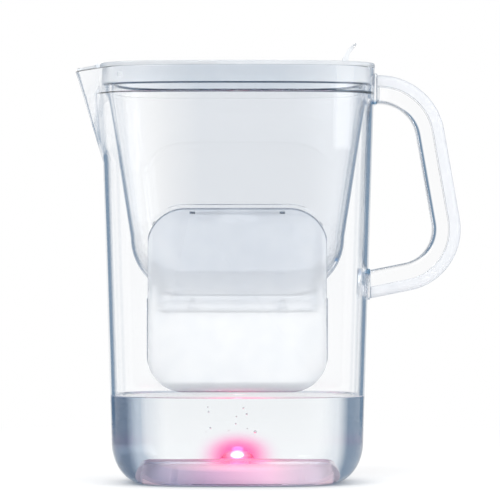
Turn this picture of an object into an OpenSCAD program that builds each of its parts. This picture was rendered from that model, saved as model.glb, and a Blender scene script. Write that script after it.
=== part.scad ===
// Water filter pitcher: a clear jug with a side spout and a loop handle, a funnel with a
// clip-on filter basket, a lift-out cartridge, a lid with two flaps and a light in the base.
// Millimetres. X points to the handle, Z up. The origin is on the jug's axis, where it stands.

/* [Jug] */
// Width of the jug at its foot, measured where the wall line meets the table
foot_w = 151; // [146:0.5:156]
// Depth of the jug at its foot
foot_d = 96; // [92:0.5:102]
// Width of the jug at its rim
rim_w = 166.6; // [163:0.2:172]
// Depth of the jug at its rim
rim_d = 104; // [101:0.5:112]
// Height of the rim above the table
rim_z = 251; // [246:0.5:260]
// Squareness of the jug seen from above: 2 is an ellipse, 4 is nearly a rectangle
plan_power = 3.1; // [2.6:0.1:4]
// Wall thickness below the ledge
wall = 3.2; // [2.8:0.1:3.6]
// Wall thickness above the ledge that carries the funnel
rim_wall = 1.6; // [1.2:0.1:2]
// Depth of the ledge below the rim
ledge_drop = 15.4; // [13:0.2:18]
// Height of the rounded corner between wall and foot
foot_round_h = 24; // [18:1:30]
// How far that corner draws in at the narrow ends
foot_round_w = 18; // [14:1:20]
// How far that corner draws in at the front and back
foot_round_d = 14; // [10:1:16]

/* [Spout] */
// How far the spout reaches beyond the wall
spout_reach = 15.5; // [12:0.5:20]
// Height of the spout from its foot to the rim
spout_h = 57.6; // [45:1:80]
// Width of the spout where it leaves the wall
spout_span = 60; // [48:1:70]
// Hollow of the spout's flanks: 1 is straight, 3 is deeply curved
spout_curve = 2.2; // [1.5:0.1:3]
// How far the lip dips below the rim
spout_dip = 1.4; // [0.6:0.1:2]

/* [Base] */
// Length of the recess in the underside
recess_w = 107; // [98:1:110]
// Depth of the recess from front to back
recess_d = 58; // [56:1:60]
// Height of the recess
recess_h = 14; // [13.4:0.2:18]
// Thickness of the jug's floor
floor_t = 3; // [2.4:0.1:3.6]
// Radius of the light dome at the centre of the floor
dome_r = 10; // [9:0.5:13]
// Height of the light dome above the raised floor
dome_h = 3.8; // [3.4:0.1:5]

/* [Handle] */
// Height above the table of the seam between core and grip at the upper root
seam_top_z = 239.9; // [236:0.5:241]
// X of the upper outer corner of the seam, before rounding
seam_top_x = 113.7; // [112:0.5:118]
// X of the lower outer corner of the seam, before rounding
seam_low_x = 133.1; // [128:0.5:138]
// Height of the lower outer corner of the seam, before rounding
seam_low_z = 129.2; // [124:0.5:134]
// Slope of the handle's lower leg, rise over run
leg_slope = 0.2; // [0.1:0.05:0.3]
// Radius of the seam at the upper corner
bend_top_r = 33; // [28:1:34]
// Radius of the seam at the lower corner
bend_low_r = 31; // [26:1:36]
// Thickness of the clear core, inside the seam
core_t = 10; // [8:0.5:12]
// Width of the clear core
core_w = 21; // [18:1:24]
// Thickness of the frosted grip, outside the seam
grip_t = 6.7; // [5:0.1:7.4]
// Width of the frosted grip
grip_w = 24; // [20:1:28]
// How much wider the handle is at its roots, as a share
root_flare = 0.28; // [0:0.02:0.4]
// How far the root pads stand proud of the wall
pad_proud = 1.2; // [1:0.1:2]

/* [Funnel] */
// Gap between the funnel's flange and the jug's wall
flange_gap = 0.4; // [0.3:0.1:0.8]
// Height of the flange
flange_h = 5.4; // [4:0.2:7]
// Gap between the funnel's wall and the jug at the ledge
tub_gap = 0.7; // [0.5:0.1:1]
// Wall thickness of the funnel
tub_wall = 2.2; // [1.8:0.1:2.6]
// Draft of the funnel's walls, inset per unit of height
tub_draft = 0.158; // [0.12:0.002:0.17]
// Height of the funnel's floor above the table
tub_floor_z = 113.7; // [112:0.5:116]
// Radius of the bottom corner at the narrow ends
tub_round_w = 35; // [30:1:36]
// Radius of the bottom corner at the front and back
tub_round_d = 9; // [8:0.5:12]
// Height of the collar below the funnel's floor
collar_h = 10.1; // [9:0.1:12]

/* [Cartridge] */
// Width of the cartridge's lower shell
cart_w = 84; // [80:1:85]
// Depth of the cartridge's lower shell
cart_d = 44; // [42:0.5:44]
// Corner radius of the cartridge seen from above
cart_r = 16; // [12:1:20]
// Wall thickness of the cartridge
cart_wall = 1.6; // [1.2:0.1:2]
// Height of the cartridge's bottom above the table
cart_bottom_z = 61.5; // [61:0.5:70]
// Height of the cartridge's top above the table
cart_top_z = 156; // [140:1:158]
// How far the flange stands out from the shell
cart_flange = 2.7; // [2.4:0.1:3]
// Thickness of the flange
cart_flange_h = 3; // [2:0.2:4]
// Height of the rubber seal above the flange
seal_h = 3; // [2:0.2:4]
// Number of slots across the cartridge's top
cap_slots = 9; // [5:2:11]
// Height of the pull tab
pull_h = 8; // [6:0.5:10]

/* [Basket] */
// Width of the basket
sleeve_w = 108; // [106:0.5:112]
// Depth of the basket
sleeve_d = 62; // [61.6:0.2:64]
// Height of the basket's underside above the table
sleeve_bottom_z = 55.6; // [52:0.2:57]
// Height of the front and back plates above the table
sleeve_top_z = 166; // [160:0.5:170]
// Corner radius of the plates
sleeve_r = 23; // [18:1:26]
// Radius of the basket's lower front and back edges
sleeve_edge_r = 7; // [4:0.5:9]
// Wall thickness of the basket
sleeve_wall = 1.8; // [1.4:0.1:2]
// Height of the basket's open upper edge at the narrow ends
sleeve_side_z = 112; // [104:1:114]
// Number of drain slots in the basket's floor
drain_slots = 5; // [3:2:7]
// Distance of the hooks from the middle
hook_x = 26.9; // [20:0.5:30]

/* [Lid] */
// Thickness of the lid's plate
lid_t = 2.5; // [2.2:0.1:3.5]
// Wall thickness of the lid's skirt
skirt_wall = 1.8; // [1.4:0.1:2.2]
// Gap between the skirt and the jug's wall
skirt_gap = 0.5; // [0.4:0.1:0.8]
// X of the fill flap's hinge
flap_hinge_x = 66; // [60:0.5:68]
// Length of the fill opening
fill_l = 72; // [50:1:90]
// Width of the fill opening
fill_w = 52; // [36:1:62]
// Width of the rebate that the flap lies on
rebate = 3; // [2:0.5:4]
// Thickness of the fill flap
flap_t = 1.5; // [1.2:0.1:1.7]
// Height of the thumb tab's tip above the lid
tab_h = 12.9; // [9:0.1:15]
// Width of the thumb tab
tab_w = 18; // [12:1:22]
// Radius of the fill flap's hinge pin
fill_pin_r = 1.2; // [1:0.1:1.4]
// Radius of the spout flap's hinge pin
spout_pin_r = 0.9; // [0.7:0.1:1]

/* [Light] */
// Radius of the light's housing
puck_r = 20.7; // [20:0.1:22]
// Wall thickness of the housing
puck_wall = 1.8; // [1.4:0.1:2]
// Height of the housing's lower edge above the table
puck_bottom_z = 1.2; // [0.8:0.1:1.6]
// Radius of the coin cell
cell_r = 10; // [8:0.5:12]
// Thickness of the coin cell
cell_t = 3.2; // [2:0.1:3.2]
// Radius of the light's lens
lens_r = 4.6; // [4.2:0.1:5]
// Radius of the light-emitting diode
led_r = 2.5; // [2:0.1:2.6]

/* [Hidden] */
$fn = 64;

seat = 0.3;            // clearance between parts that lie in each other
pin_play = 0.05;       // radial play of a hinge pin in its knuckle
eps = 1;               // how far a cutting solid runs past what it cuts
plan_steps = 64;       // points round a plan outline
corner_steps = 5;      // steps round a foot corner
arc_steps = 6;         // steps round a small corner
quarter = plan_steps / 4;
even = 1.55;           // spreads the outline's points evenly over the flat sides

ledge_z = rim_z - ledge_drop;
spout_foot_z = rim_z - spout_h;
plateau_z = recess_h + floor_t;
lid_z = rim_z;
lid_top_z = lid_z + lid_t;

// ---- outlines -------------------------------------------------------------------------------

function signed_power(v, e) = sign(v) * pow(abs(v), e);
function spread(u) = pow(u, even) / (pow(u, even) + pow(1 - u, even));
function plan_angle(i) = 90 * (floor(i / quarter) + spread((i % quarter) / quarter));

// A superellipse with half sizes hx and hy at height z, counter-clockwise from +X
function oval(hx, hy, z, power = plan_power) = [
    for (i = [0 : plan_steps - 1]) let (a = plan_angle(i))
        [hx * signed_power(cos(a), 2 / power), hy * signed_power(sin(a), 2 / power), z]
];
function flat(ring) = [for (p = ring) [p.x, p.y]];

// A rectangle with round corners, counter-clockwise
function rounded(hx, hy, r, steps = arc_steps) = [
    for (c = [0 : 3], s = [0 : steps]) let (
        a = 90 * (c + s / steps),
        sx = (c == 0 || c == 3) ? 1 : -1,
        sy = c < 2 ? 1 : -1
    ) [sx * (hx - r) + r * cos(a), sy * (hy - r) + r * sin(a)]
];

// A solid through rings of equal length, closed at its first and last ring
module loft(rings) {
    n = len(rings[0]);
    last = len(rings) - 1;
    sides = [
        for (k = [0 : last - 1], i = [0 : n - 1]) let (
            a = k * n + i,
            b = k * n + (i + 1) % n,
            c = b + n,
            d = a + n
        ) each [[a, c, b], [a, d, c]]
    ];
    first_cap = [for (i = [0 : n - 1]) i];
    last_cap = [for (i = [n - 1 : -1 : 0]) last * n + i];
    polyhedron(points = [for (ring = rings) each ring], faces = [first_cap, each sides, last_cap]);
}

module slab(outline, z0, z1) {
    translate([0, 0, z0]) linear_extrude(z1 - z0) polygon(outline);
}

// An outline drawn in X and Z, drawn out along Y from y0 to y1
module across(outline, y0, y1) {
    translate([0, y1, 0]) rotate([90, 0, 0]) linear_extrude(y1 - y0) polygon(outline);
}

module box(lo, hi) {
    translate(lo) cube(hi - lo);
}

module bar_y(x, z, r, y0, y1) {
    translate([x, y1, z]) rotate([90, 0, 0]) cylinder(h = y1 - y0, r = r);
}

// ---- jug ------------------------------------------------------------------------------------

function body_hx(z) = (foot_w + (rim_w - foot_w) * z / rim_z) / 2;
function body_hy(z) = (foot_d + (rim_d - foot_d) * z / rim_z) / 2;

// How far the spout draws a point of the outline out, as a share of its reach
function spout_pull(y, inset) = let (half = spout_span / 2 - inset)
    abs(y) < half ? pow(1 - abs(y) / half, spout_curve) : 0;
function spout_rise(z) = max(0, min(1, (z - spout_foot_z) / spout_h));

function jug_ring(inset, z, dip = 0) = [
    for (p = oval(body_hx(z) - inset, body_hy(z) - inset, z))
        p.x > 0 ? p : let (pull = spout_pull(p.y, inset))
            [p.x - spout_reach * spout_rise(z) * pull, p.y, z - dip * pull]
];

// The rounded corner above the foot, at a turn from 0 (on the table) to 90 (up the wall)
function foot_ring(inset, bottom, turn) = let (
    z = bottom + (foot_round_h - bottom) * (1 - cos(turn)),
    draw_w = foot_round_w - (foot_round_w - inset) * sin(turn),
    draw_d = foot_round_d - (foot_round_d - inset) * sin(turn)
) oval(body_hx(z) - draw_w, body_hy(z) - draw_d, z);

function turns(from, to) = [for (i = [0 : corner_steps]) from + (to - from) * i / corner_steps];

recess_power = 5;      // squareness of the recess
shoulder = 3;          // rounding of the raised floor's edge
shoulder_steps = 2;
rim_break = 0.5;       // small round on the rim's outer edge
moat_rise = 0.4;       // how much the jug's floor rises towards the raised floor's wall
dome_wall = 2.4;       // wall thickness of the light dome
dome_steps = 3;
dome_turn = 76;        // where the dome's curve ends in a small flat

// The wall of the raised floor, inset at its base, and rounding over at its top
function shoulder_rings(inset, top) = [
    for (i = [0 : shoulder_steps]) let (
        turn = 90 * i / shoulder_steps,
        draw = inset + shoulder * (1 - cos(turn)),
        z = top - shoulder * (1 - sin(turn))
    ) oval(recess_w / 2 - draw, recess_d / 2 - draw, z, recess_power)
];
function dome_rings(r, foot, h) = [
    for (i = [0 : dome_steps]) let (turn = dome_turn * i / dome_steps)
        oval(r * cos(turn), r * cos(turn), foot + h * sin(turn), 2)
];
function backwards(rings) = [for (i = [len(rings) - 1 : -1 : 0]) rings[i]];

module jug_body() {
    rw = recess_w / 2;
    rd = recess_d / 2;
    t = floor_t;
    cavity_h = plateau_z + dome_h - dome_wall - recess_h;
    color([0.80, 0.87, 0.94, 0.35]) union() {
        loft([
            each backwards(dome_rings(dome_r - dome_wall, recess_h, cavity_h)),
            each backwards(shoulder_rings(t, recess_h)),
            oval(rw, rd, 0, recess_power),
            for (turn = turns(0, 90)) foot_ring(0, 0, turn),
            jug_ring(0, spout_foot_z),
            jug_ring(0, rim_z - rim_break, spout_dip),
            jug_ring(rim_break, rim_z, spout_dip),
            jug_ring(rim_wall, rim_z, spout_dip),
            jug_ring(rim_wall, ledge_z),
            jug_ring(wall, ledge_z),
            jug_ring(wall, spout_foot_z),
            for (turn = turns(90, 0)) foot_ring(wall, t, turn),
            oval(rw + t, rd + t, t + moat_rise, recess_power),
            each shoulder_rings(0, plateau_z),
            each dome_rings(dome_r, plateau_z, dome_h),
        ]);
        root_pad(pad_top_x, seam_top_z - core_t, seam_top_z + grip_t);
        root_pad(pad_low_x, seam_end_z - grip_t, seam_end_z + core_t);
    }
}

// A flat pad on the wall that a handle root seats on
pad_lap = 1;           // the pad's border round the root
pad_w = grip_w * (1 + root_flare) + 2 * pad_lap;
pad_round = 3;         // corner radius of a pad
pad_sink = 2.2;        // how far the pad runs back into the wall
function pad_x(z) = body_hx(z) + pad_proud;
pad_top_x = pad_x(seam_top_z);
pad_low_x = pad_x(seam_low_z);
module root_pad(x, z0, z1) {
    outline = rounded(pad_w / 2, (z1 - z0) / 2 + pad_lap, pad_round);
    translate([x - pad_sink, 0, (z0 + z1) / 2])
        rotate([90, 0, 90]) linear_extrude(pad_sink) polygon(outline);
}

// ---- handle ---------------------------------------------------------------------------------

seam_end_z = seam_low_z - leg_slope * (seam_low_x - pad_low_x);

// Stations round one bend: each is the seam's point and the direction that faces outward
function bend(from, corner, to, r, steps) = let (
    a = (corner - from) / norm(corner - from),
    b = (to - corner) / norm(to - corner),
    turn = acos(a * b),
    start = corner - a * r * tan(turn / 2),
    inward = (b - a * (a * b)) / sin(turn),
    centre = start + inward * r
) [for (s = [0 : steps]) let (t = turn * s / steps, out = a * sin(t) - inward * cos(t))
    [centre + out * r, out]];

bend_steps = 9;
function seam() = let (
    root = [pad_top_x, seam_top_z],
    top = [seam_top_x, seam_top_z],
    low = [seam_low_x, seam_low_z],
    end = [pad_low_x, seam_end_z]
) concat(
    [[root, [0, 1]]],
    bend(root, top, low, bend_top_r, bend_steps),
    bend(top, low, end, bend_low_r, bend_steps),
    [[end, [0, -1] * sqrt(1 + pow(leg_slope, 2))]]
);

flare_reach = 5;       // stations over which a root widens
function root_width(i, n) = let (e = min(i, n - 1 - i))
    1 + root_flare * pow(max(0, 1 - e / flare_reach), 2);

// Half of a handle section: flat on the seam, round on the other side, which is at distance t
edge_steps = 4;
function section(t, half, r) = let (s = sign(t), a = abs(t)) [
    [0, -half],
    for (i = [0 : edge_steps]) let (q = 90 * i / edge_steps)
        [s * (a - r + r * sin(q)), -(half - r + r * cos(q))],
    for (i = [edge_steps : -1 : 0]) let (q = 90 * i / edge_steps)
        [s * (a - r + r * sin(q)), half - r + r * cos(q)],
    [0, half],
];

module handle_sweep(t, w, r) {
    path = seam();
    n = len(path);
    outline = section(t, w / 2, r);
    rings = [
        for (i = [0 : n - 1]) let (at = path[i][0], out = path[i][1], wide = root_width(i, n))
            [for (q = outline) [at.x + out.x * q.x, q.y * wide, at.y + out.y * q.x]]
    ];
    loft(t > 0 ? [for (ring = rings) [for (k = [len(ring) - 1 : -1 : 0]) ring[k]]] : rings);
}

core_round = 4;        // edge radius of the core
module handle_core() {
    color([0.86, 0.90, 0.95, 0.5]) handle_sweep(-core_t, core_w, core_round);
}

grip_round = 3.4;      // edge radius of the grip
module handle_grip() {
    color([0.93, 0.95, 0.96]) handle_sweep(grip_t, grip_w, grip_round);
}

// ---- funnel ---------------------------------------------------------------------------------

tub_hx = body_hx(ledge_z) - wall - tub_gap;
tub_hy = body_hy(ledge_z) - wall - tub_gap;
flange_hx = body_hx(ledge_z) - rim_wall - flange_gap;
flange_hy = body_hy(ledge_z) - rim_wall - flange_gap;
flange_top_z = ledge_z + flange_h;

// The funnel's bottom corner, inset by the wall for its inside
function tub_ring(inset, turn) = let (
    rw = tub_round_w - inset,
    rd = tub_round_d - inset,
    centre_z = tub_floor_z + tub_round_w,
    z = centre_z - rw * cos(turn),
    lean = tub_draft * (ledge_z - centre_z)
) oval(
    tub_hx - lean - tub_round_w + rw * sin(turn),
    tub_hy - lean - tub_round_d + rd * sin(turn),
    z
);

bore_gap = 0.5;        // gap between the cartridge's flange and the collar's bore
step_t = 2.4;          // thickness of the step that carries the cartridge
collar_rise = 8;       // how far the collar's wall runs up inside the funnel
bore_grow = cart_flange + bore_gap;
collar_grow = bore_grow + tub_wall;
collar_bottom_z = tub_floor_z - collar_h;
step_z = collar_bottom_z + step_t;
function cart_outline(grow) = rounded(cart_w / 2 + grow, cart_d / 2 + grow, cart_r + grow);

sleeve_hx = sleeve_w / 2;
sleeve_hy = sleeve_d / 2;
sleeve_inner_y = sleeve_hy - sleeve_wall;
recess_y = sleeve_inner_y - seat;
sleeve_mid_z = (sleeve_bottom_z + sleeve_top_z) / 2;
sleeve_half_h = (sleeve_top_z - sleeve_bottom_z) / 2;
function plate_outline(grow) = [
    for (p = rounded(sleeve_hx + grow, sleeve_half_h + grow, sleeve_r + grow))
        [p.x, p.y + sleeve_mid_z]
];

// The space that the basket's two plates lie in, on the outside of the funnel
module plate_recess(grow, y) {
    for (side = [-1, 1]) scale([1, side, 1])
        across(plate_outline(seat + grow), y, rim_d);
}

hook_w = 2.6;
hook_h = 0.9;
hook_drop = 2.6;       // depth of the hooks below the plates' upper edge
hook_short = 0.4;      // how far a hook's tip stays below the plate's face
hook_z = sleeve_top_z - hook_drop;
rib_w = 8;             // width of a collar rib at its foot
rib_bar = 1.4;         // width of its bars
rib_proud = 1.2;       // how far it stands out of the collar
rib_cross = 0.3;       // height of its cross bar, as a share

// An A-shaped rib on the collar, drawn in X and Z with its foot on the collar's lower edge
module collar_rib() {
    h = collar_h - eps;
    lean = (rib_w - rib_bar) / 2 / h;
    cross_z = h * rib_cross;
    cross_half = rib_w / 2 - rib_bar - cross_z * lean;
    difference() {
        polygon([[-rib_w / 2, 0], [rib_w / 2, 0], [rib_bar / 2, h], [-rib_bar / 2, h]]);
        polygon([[-rib_w / 2 + rib_bar, -eps], [rib_w / 2 - rib_bar, -eps],
            [cross_half, cross_z - rib_bar / 2], [-cross_half, cross_z - rib_bar / 2]]);
        polygon([[-cross_half, cross_z + rib_bar / 2], [cross_half, cross_z + rib_bar / 2],
            [0, cross_z + cross_half / lean]]);
    }
}

module hopper() {
    corner = [for (i = [0 : corner_steps + 1]) 90 * i / (corner_steps + 1)];
    color([0.84, 0.88, 0.94, 0.45]) difference() {
        union() {
            difference() {
                loft([
                    for (turn = corner) tub_ring(0, turn),
                    oval(tub_hx, tub_hy, ledge_z),
                    oval(flange_hx, flange_hy, ledge_z),
                    oval(flange_hx, flange_hy, flange_top_z),
                ]);
                plate_recess(0, recess_y);
            }
            slab(cart_outline(collar_grow), collar_bottom_z, tub_floor_z + collar_rise);
            for (side = [-1, 1], x = [-hook_x, hook_x]) scale([1, side, 1]) {
                box([x - hook_w / 2, recess_y - eps, hook_z - hook_h / 2],
                    [x + hook_w / 2, sleeve_hy - hook_short, hook_z + hook_h / 2]);
                translate([x, cart_d / 2 + collar_grow + rib_proud, collar_bottom_z])
                    rotate([90, 0, 0]) linear_extrude(rib_proud + eps) collar_rib();
            }
        }
        difference() {
            loft([
                for (turn = corner) tub_ring(tub_wall, turn),
                oval(tub_hx - tub_wall, tub_hy - tub_wall, ledge_z),
                oval(tub_hx - tub_wall, tub_hy - tub_wall, flange_top_z + eps),
            ]);
            plate_recess(tub_wall, recess_y - tub_wall);
        }
        slab(cart_outline(bore_grow), step_z, tub_floor_z + collar_rise + eps);
        slab(cart_outline(2 * seat), collar_bottom_z - eps, step_z + eps);
    }
}

// ---- basket ---------------------------------------------------------------------------------

plan_corner = 4;       // radius of the basket's upright edges
function side_outline(hy, bottom, top, r) = [
    for (p = rounded(hy, (top - bottom) / 2, r)) [p.x, p.y + (top + bottom) / 2]
];

// The basket's form, seen from all three sides a rectangle with round corners, and cut off at
// a height. The side view's upper corners lie above the plates.
module soft_box(inset, top) {
    intersection() {
        across(plate_outline(-inset), -sleeve_hy, sleeve_hy);
        slab(rounded(sleeve_hx - inset, sleeve_hy - inset, plan_corner - inset),
            sleeve_bottom_z - eps, top);
        rotate([90, 0, 90]) translate([0, 0, -sleeve_w]) linear_extrude(2 * sleeve_w)
            polygon(side_outline(sleeve_hy - inset, sleeve_bottom_z + inset,
                sleeve_top_z + 2 * sleeve_edge_r, sleeve_edge_r - inset));
    }
}

drain_w = 3;           // width of a drain slot in the basket's floor
drain_pitch = 12;
module cartridge_sleeve() {
    color([0.92, 0.94, 0.97, 0.8]) difference() {
        soft_box(0, sleeve_top_z + eps);
        soft_box(sleeve_wall, sleeve_side_z + eps);
        box([-sleeve_w, -sleeve_inner_y, sleeve_side_z], [sleeve_w, sleeve_inner_y, rim_z]);
        for (i = [0 : drain_slots - 1]) let (x = (i - (drain_slots - 1) / 2) * drain_pitch)
            box([x - drain_w / 2, -cart_d / 2 + drain_w, sleeve_bottom_z - eps],
                [x + drain_w / 2, cart_d / 2 - drain_w, sleeve_bottom_z + sleeve_wall + eps]);
        for (x = [-hook_x, hook_x])
            box([x - hook_w / 2 - seat, -sleeve_d, hook_z - hook_h / 2 - seat],
                [x + hook_w / 2 + seat, sleeve_d, hook_z + hook_h / 2 + seat]);
    }
}

// ---- cartridge ------------------------------------------------------------------------------

cart_seat_z = step_z;
shell_top_z = cart_seat_z + cart_flange_h + seal_h;
cart_floor = 2;        // thickness of the cartridge's floor
cart_slot_w = 2.2;
slot_border = 7;       // solid border between the floor's slots and the shell

// A row of slots across a plate, within half lengths hx and hy
module slot_row(count, hx, hy, z0, z1) {
    pitch = 2 * hx / count;
    for (i = [0 : count - 1]) let (x = (i - (count - 1) / 2) * pitch)
        box([x - cart_slot_w / 2, -hy, z0], [x + cart_slot_w / 2, hy, z1]);
}

module cartridge_shell() {
    color([0.97, 0.97, 0.98]) difference() {
        union() {
            slab(cart_outline(0), cart_bottom_z, shell_top_z);
            slab(cart_outline(cart_flange), cart_seat_z, cart_seat_z + cart_flange_h);
        }
        slab(cart_outline(-cart_wall), cart_bottom_z + cart_floor, shell_top_z + eps);
        slot_row(cap_slots, (cart_w - cart_r) / 2, cart_d / 2 - slot_border,
            cart_bottom_z - eps, cart_bottom_z + cart_floor + eps);
    }
}

cap_grow = 2;          // how far the cap stands out from the shell
cap_break = 1.2;       // bevel of the cap's upper edge
rib_half = 6;          // half width of the plain strip that carries the pull tab
module cartridge_cap() {
    slot_half = (cart_d / 2 - rib_half - 2 * cart_wall) / 2;
    color([0.96, 0.97, 0.98]) difference() {
        union() {
            slab(cart_outline(cap_grow), shell_top_z, cart_top_z - cap_break);
            slab(cart_outline(cap_grow - cap_break), cart_top_z - cap_break - eps, cart_top_z);
            pull_tab();
        }
        slab(cart_outline(cap_grow - cart_wall), shell_top_z + cart_wall,
            cart_top_z - cart_wall);
        slab(cart_outline(-cart_wall), shell_top_z - eps, shell_top_z + cart_wall + eps);
        for (side = [-1, 1]) scale([1, side, 1]) translate([0, rib_half + slot_half, 0])
            slot_row(cap_slots, cart_w / 2 - 2 * cart_wall, slot_half,
                cart_top_z - cart_wall - eps, cart_top_z + eps);
    }
}

pull_w = 26;           // width of the pull tab at its root
pull_t = 3;            // thickness of the pull tab
pull_taper = 2;        // how much narrower it is at each side above its root
module pull_tab() {
    translate([0, pull_t / 2, cart_top_z]) rotate([90, 0, 0]) linear_extrude(pull_t)
        polygon([
            [-pull_w / 2, -cart_wall / 2],
            for (i = [0 : 2 * arc_steps]) let (a = 180 - 90 * i / arc_steps)
                [(pull_w / 2 - pull_taper) * cos(a), pull_h * sqrt(sin(a))],
            [pull_w / 2, -cart_wall / 2],
        ]);
}

seal_core = 1.7;       // how far the seal's core stands out from the shell
seal_lip = 0.2;        // how far its lips stand out beyond the flange
seal_lip_t = 0.8;
module cartridge_seal() {
    base_z = cart_seat_z + cart_flange_h;
    margin = (seal_h - 2 * seal_lip_t) / 4;
    color([0.75, 0.79, 0.84]) difference() {
        union() {
            slab(cart_outline(seal_core), base_z, base_z + seal_h);
            for (z = [base_z + margin, base_z + seal_h - margin - seal_lip_t])
                slab(cart_outline(cart_flange + seal_lip), z, z + seal_lip_t);
        }
        slab(cart_outline(0), base_z - eps, base_z + seal_h + eps);
    }
}

mesh_t = 0.8;          // thickness of a mesh
bed_gap = 0.2;         // gap between the beds and the shell
outlet_z = cart_bottom_z + cart_floor;
bed_top_z = shell_top_z - mesh_t;
module outlet_mesh() {
    color([0.9, 0.9, 0.92])
        slab(cart_outline(-cart_wall - bed_gap), outlet_z, outlet_z + mesh_t);
}

module carbon_bed() {
    color([0.16, 0.16, 0.18])
        slab(cart_outline(-cart_wall - bed_gap), outlet_z + mesh_t, bed_top_z);
}

module inlet_mesh() {
    color([0.9, 0.9, 0.92])
        slab(cart_outline(-cart_wall - bed_gap), bed_top_z, bed_top_z + mesh_t);
}

bed_room = 4;          // free room above the upper bed
module mineral_bed() {
    color([0.88, 0.86, 0.80]) union() {
        slab(cart_outline(cap_grow - cart_wall - bed_gap), shell_top_z + cart_wall,
            cart_top_z - cart_wall - bed_room);
        slab(cart_outline(-cart_wall - bed_gap), shell_top_z, shell_top_z + cart_wall + eps);
    }
}

// ---- lid ------------------------------------------------------------------------------------

skirt_hx = body_hx(flange_top_z) - rim_wall - skirt_gap;
skirt_hy = body_hy(flange_top_z) - rim_wall - skirt_gap;
skirt_bottom_z = flange_top_z + seat;
lid_break = 0.8;       // bevel of the lid's upper edge

hinge_back = 8;        // distance from the fill opening to its flap's hinge
fill_r = 8;            // corner radius of the fill opening
fill_x1 = flap_hinge_x - hinge_back;
fill_mid = fill_x1 - fill_l / 2;
rebate_z = lid_top_z - flap_t;
knuckle_wall = 1.2;    // wall of the knuckle round the pin
knuckle_r = fill_pin_r + knuckle_wall;
knuckle_proud = 1.5;   // how far the knuckle stands above the lid
hinge_z = lid_top_z + knuckle_proud - knuckle_r;
knuckle_half = 12;     // half the length of the flap's knuckle, with its gaps
tab_room = 3.2;        // free room behind the knuckle, for the thumb tab's root
lug_l = 5;             // length of the lid's lugs
lug_end = 0.6;         // closed end of a lug
pin_grip = 0.02;       // radial play of a pin in its lugs
pin_short = 0.2;       // how far a pin's end stays inside its lug
fill_pin_half = knuckle_half + seat + lug_l - lug_end;
snap_w = 1.6 * fill_pin_r; // width of the slit through which the pin snaps into its lugs
function shifted(outline, x) = [for (p = outline) [p.x + x, p.y]];
function fill_outline(grow) =
    shifted(rounded(fill_l / 2 + grow, fill_w / 2 + grow, fill_r + grow), fill_mid);

spout_hinge_out = 1.3; // distance of the spout flap's hinge beyond the lid's edge
spout_hinge_up = 1;    // height of that hinge above the rim
spout_hinge_x = -(rim_w / 2 + spout_hinge_out);
spout_hinge_z = rim_z + spout_hinge_up;
spout_knuckle_r = spout_pin_r + 0.9;
spout_knuckle_half = 7.6;
spout_lug_l = 2.2;
window_x = -69.5;      // a pair of small windows in the skirt, near the spout
window_w = 3;
window_top = 3.6;      // their depth below the rim
window_h = 2.4;

module lid_frame() {
    color([0.93, 0.95, 0.97, 0.8]) difference() {
        union() {
            loft([
                oval(rim_w / 2, rim_d / 2, lid_z),
                oval(rim_w / 2, rim_d / 2, lid_top_z - lid_break),
                oval(rim_w / 2 - lid_break, rim_d / 2 - lid_break, lid_top_z),
            ]);
            difference() {
                slab(flat(oval(skirt_hx, skirt_hy, 0)), skirt_bottom_z, lid_z + eps);
                slab(flat(oval(skirt_hx - skirt_wall, skirt_hy - skirt_wall, 0)),
                    skirt_bottom_z - eps, lid_z);
            }
            for (side = [-1, 1]) scale([1, side, 1]) {
                bar_y(flap_hinge_x, hinge_z, knuckle_r, knuckle_half + seat,
                    knuckle_half + seat + lug_l);
                bar_y(spout_hinge_x, spout_hinge_z, spout_knuckle_r,
                    spout_knuckle_half + seat, spout_knuckle_half + seat + spout_lug_l);
                box([spout_hinge_x, spout_knuckle_half + seat, lid_z],
                    [-rim_w / 2 + 2 * eps, spout_knuckle_half + seat + spout_lug_l,
                        spout_hinge_z]);
            }
        }
        slab(fill_outline(0), skirt_bottom_z, lid_top_z + 2 * eps);
        slab(fill_outline(rebate), rebate_z, lid_top_z + 2 * eps);
        box([fill_x1, -knuckle_half, lid_z - eps],
            [flap_hinge_x + knuckle_r + tab_room, knuckle_half, lid_top_z + 2 * eps]);
        bar_y(flap_hinge_x, hinge_z, fill_pin_r + pin_grip, -fill_pin_half, fill_pin_half);
        bar_y(spout_hinge_x, spout_hinge_z, spout_pin_r + pin_grip, -rim_d / 4, rim_d / 4);
        bar_y(spout_hinge_x, spout_hinge_z, spout_knuckle_r + seat, -spout_knuckle_half - seat,
            spout_knuckle_half + seat);
        for (side = [-1, 1]) scale([1, side, 1]) {
            box([flap_hinge_x - snap_w / 2, knuckle_half, lid_z - 2 * knuckle_r],
                [flap_hinge_x + snap_w / 2, fill_pin_half, hinge_z]);
            box([window_x - window_w / 2, rim_d / 4, lid_z - window_top - window_h],
                [window_x + window_w / 2, rim_d, lid_z - window_top]);
        }
    }
}

module fill_hinge_pin() {
    half = fill_pin_half - pin_short;
    color([0.88, 0.90, 0.93]) bar_y(flap_hinge_x, hinge_z, fill_pin_r, -half, half);
}

module spout_hinge_pin() {
    half = spout_knuckle_half + seat + spout_lug_l - pin_short;
    color([0.88, 0.90, 0.93]) bar_y(spout_hinge_x, spout_hinge_z, spout_pin_r, -half, half);
}

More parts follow.
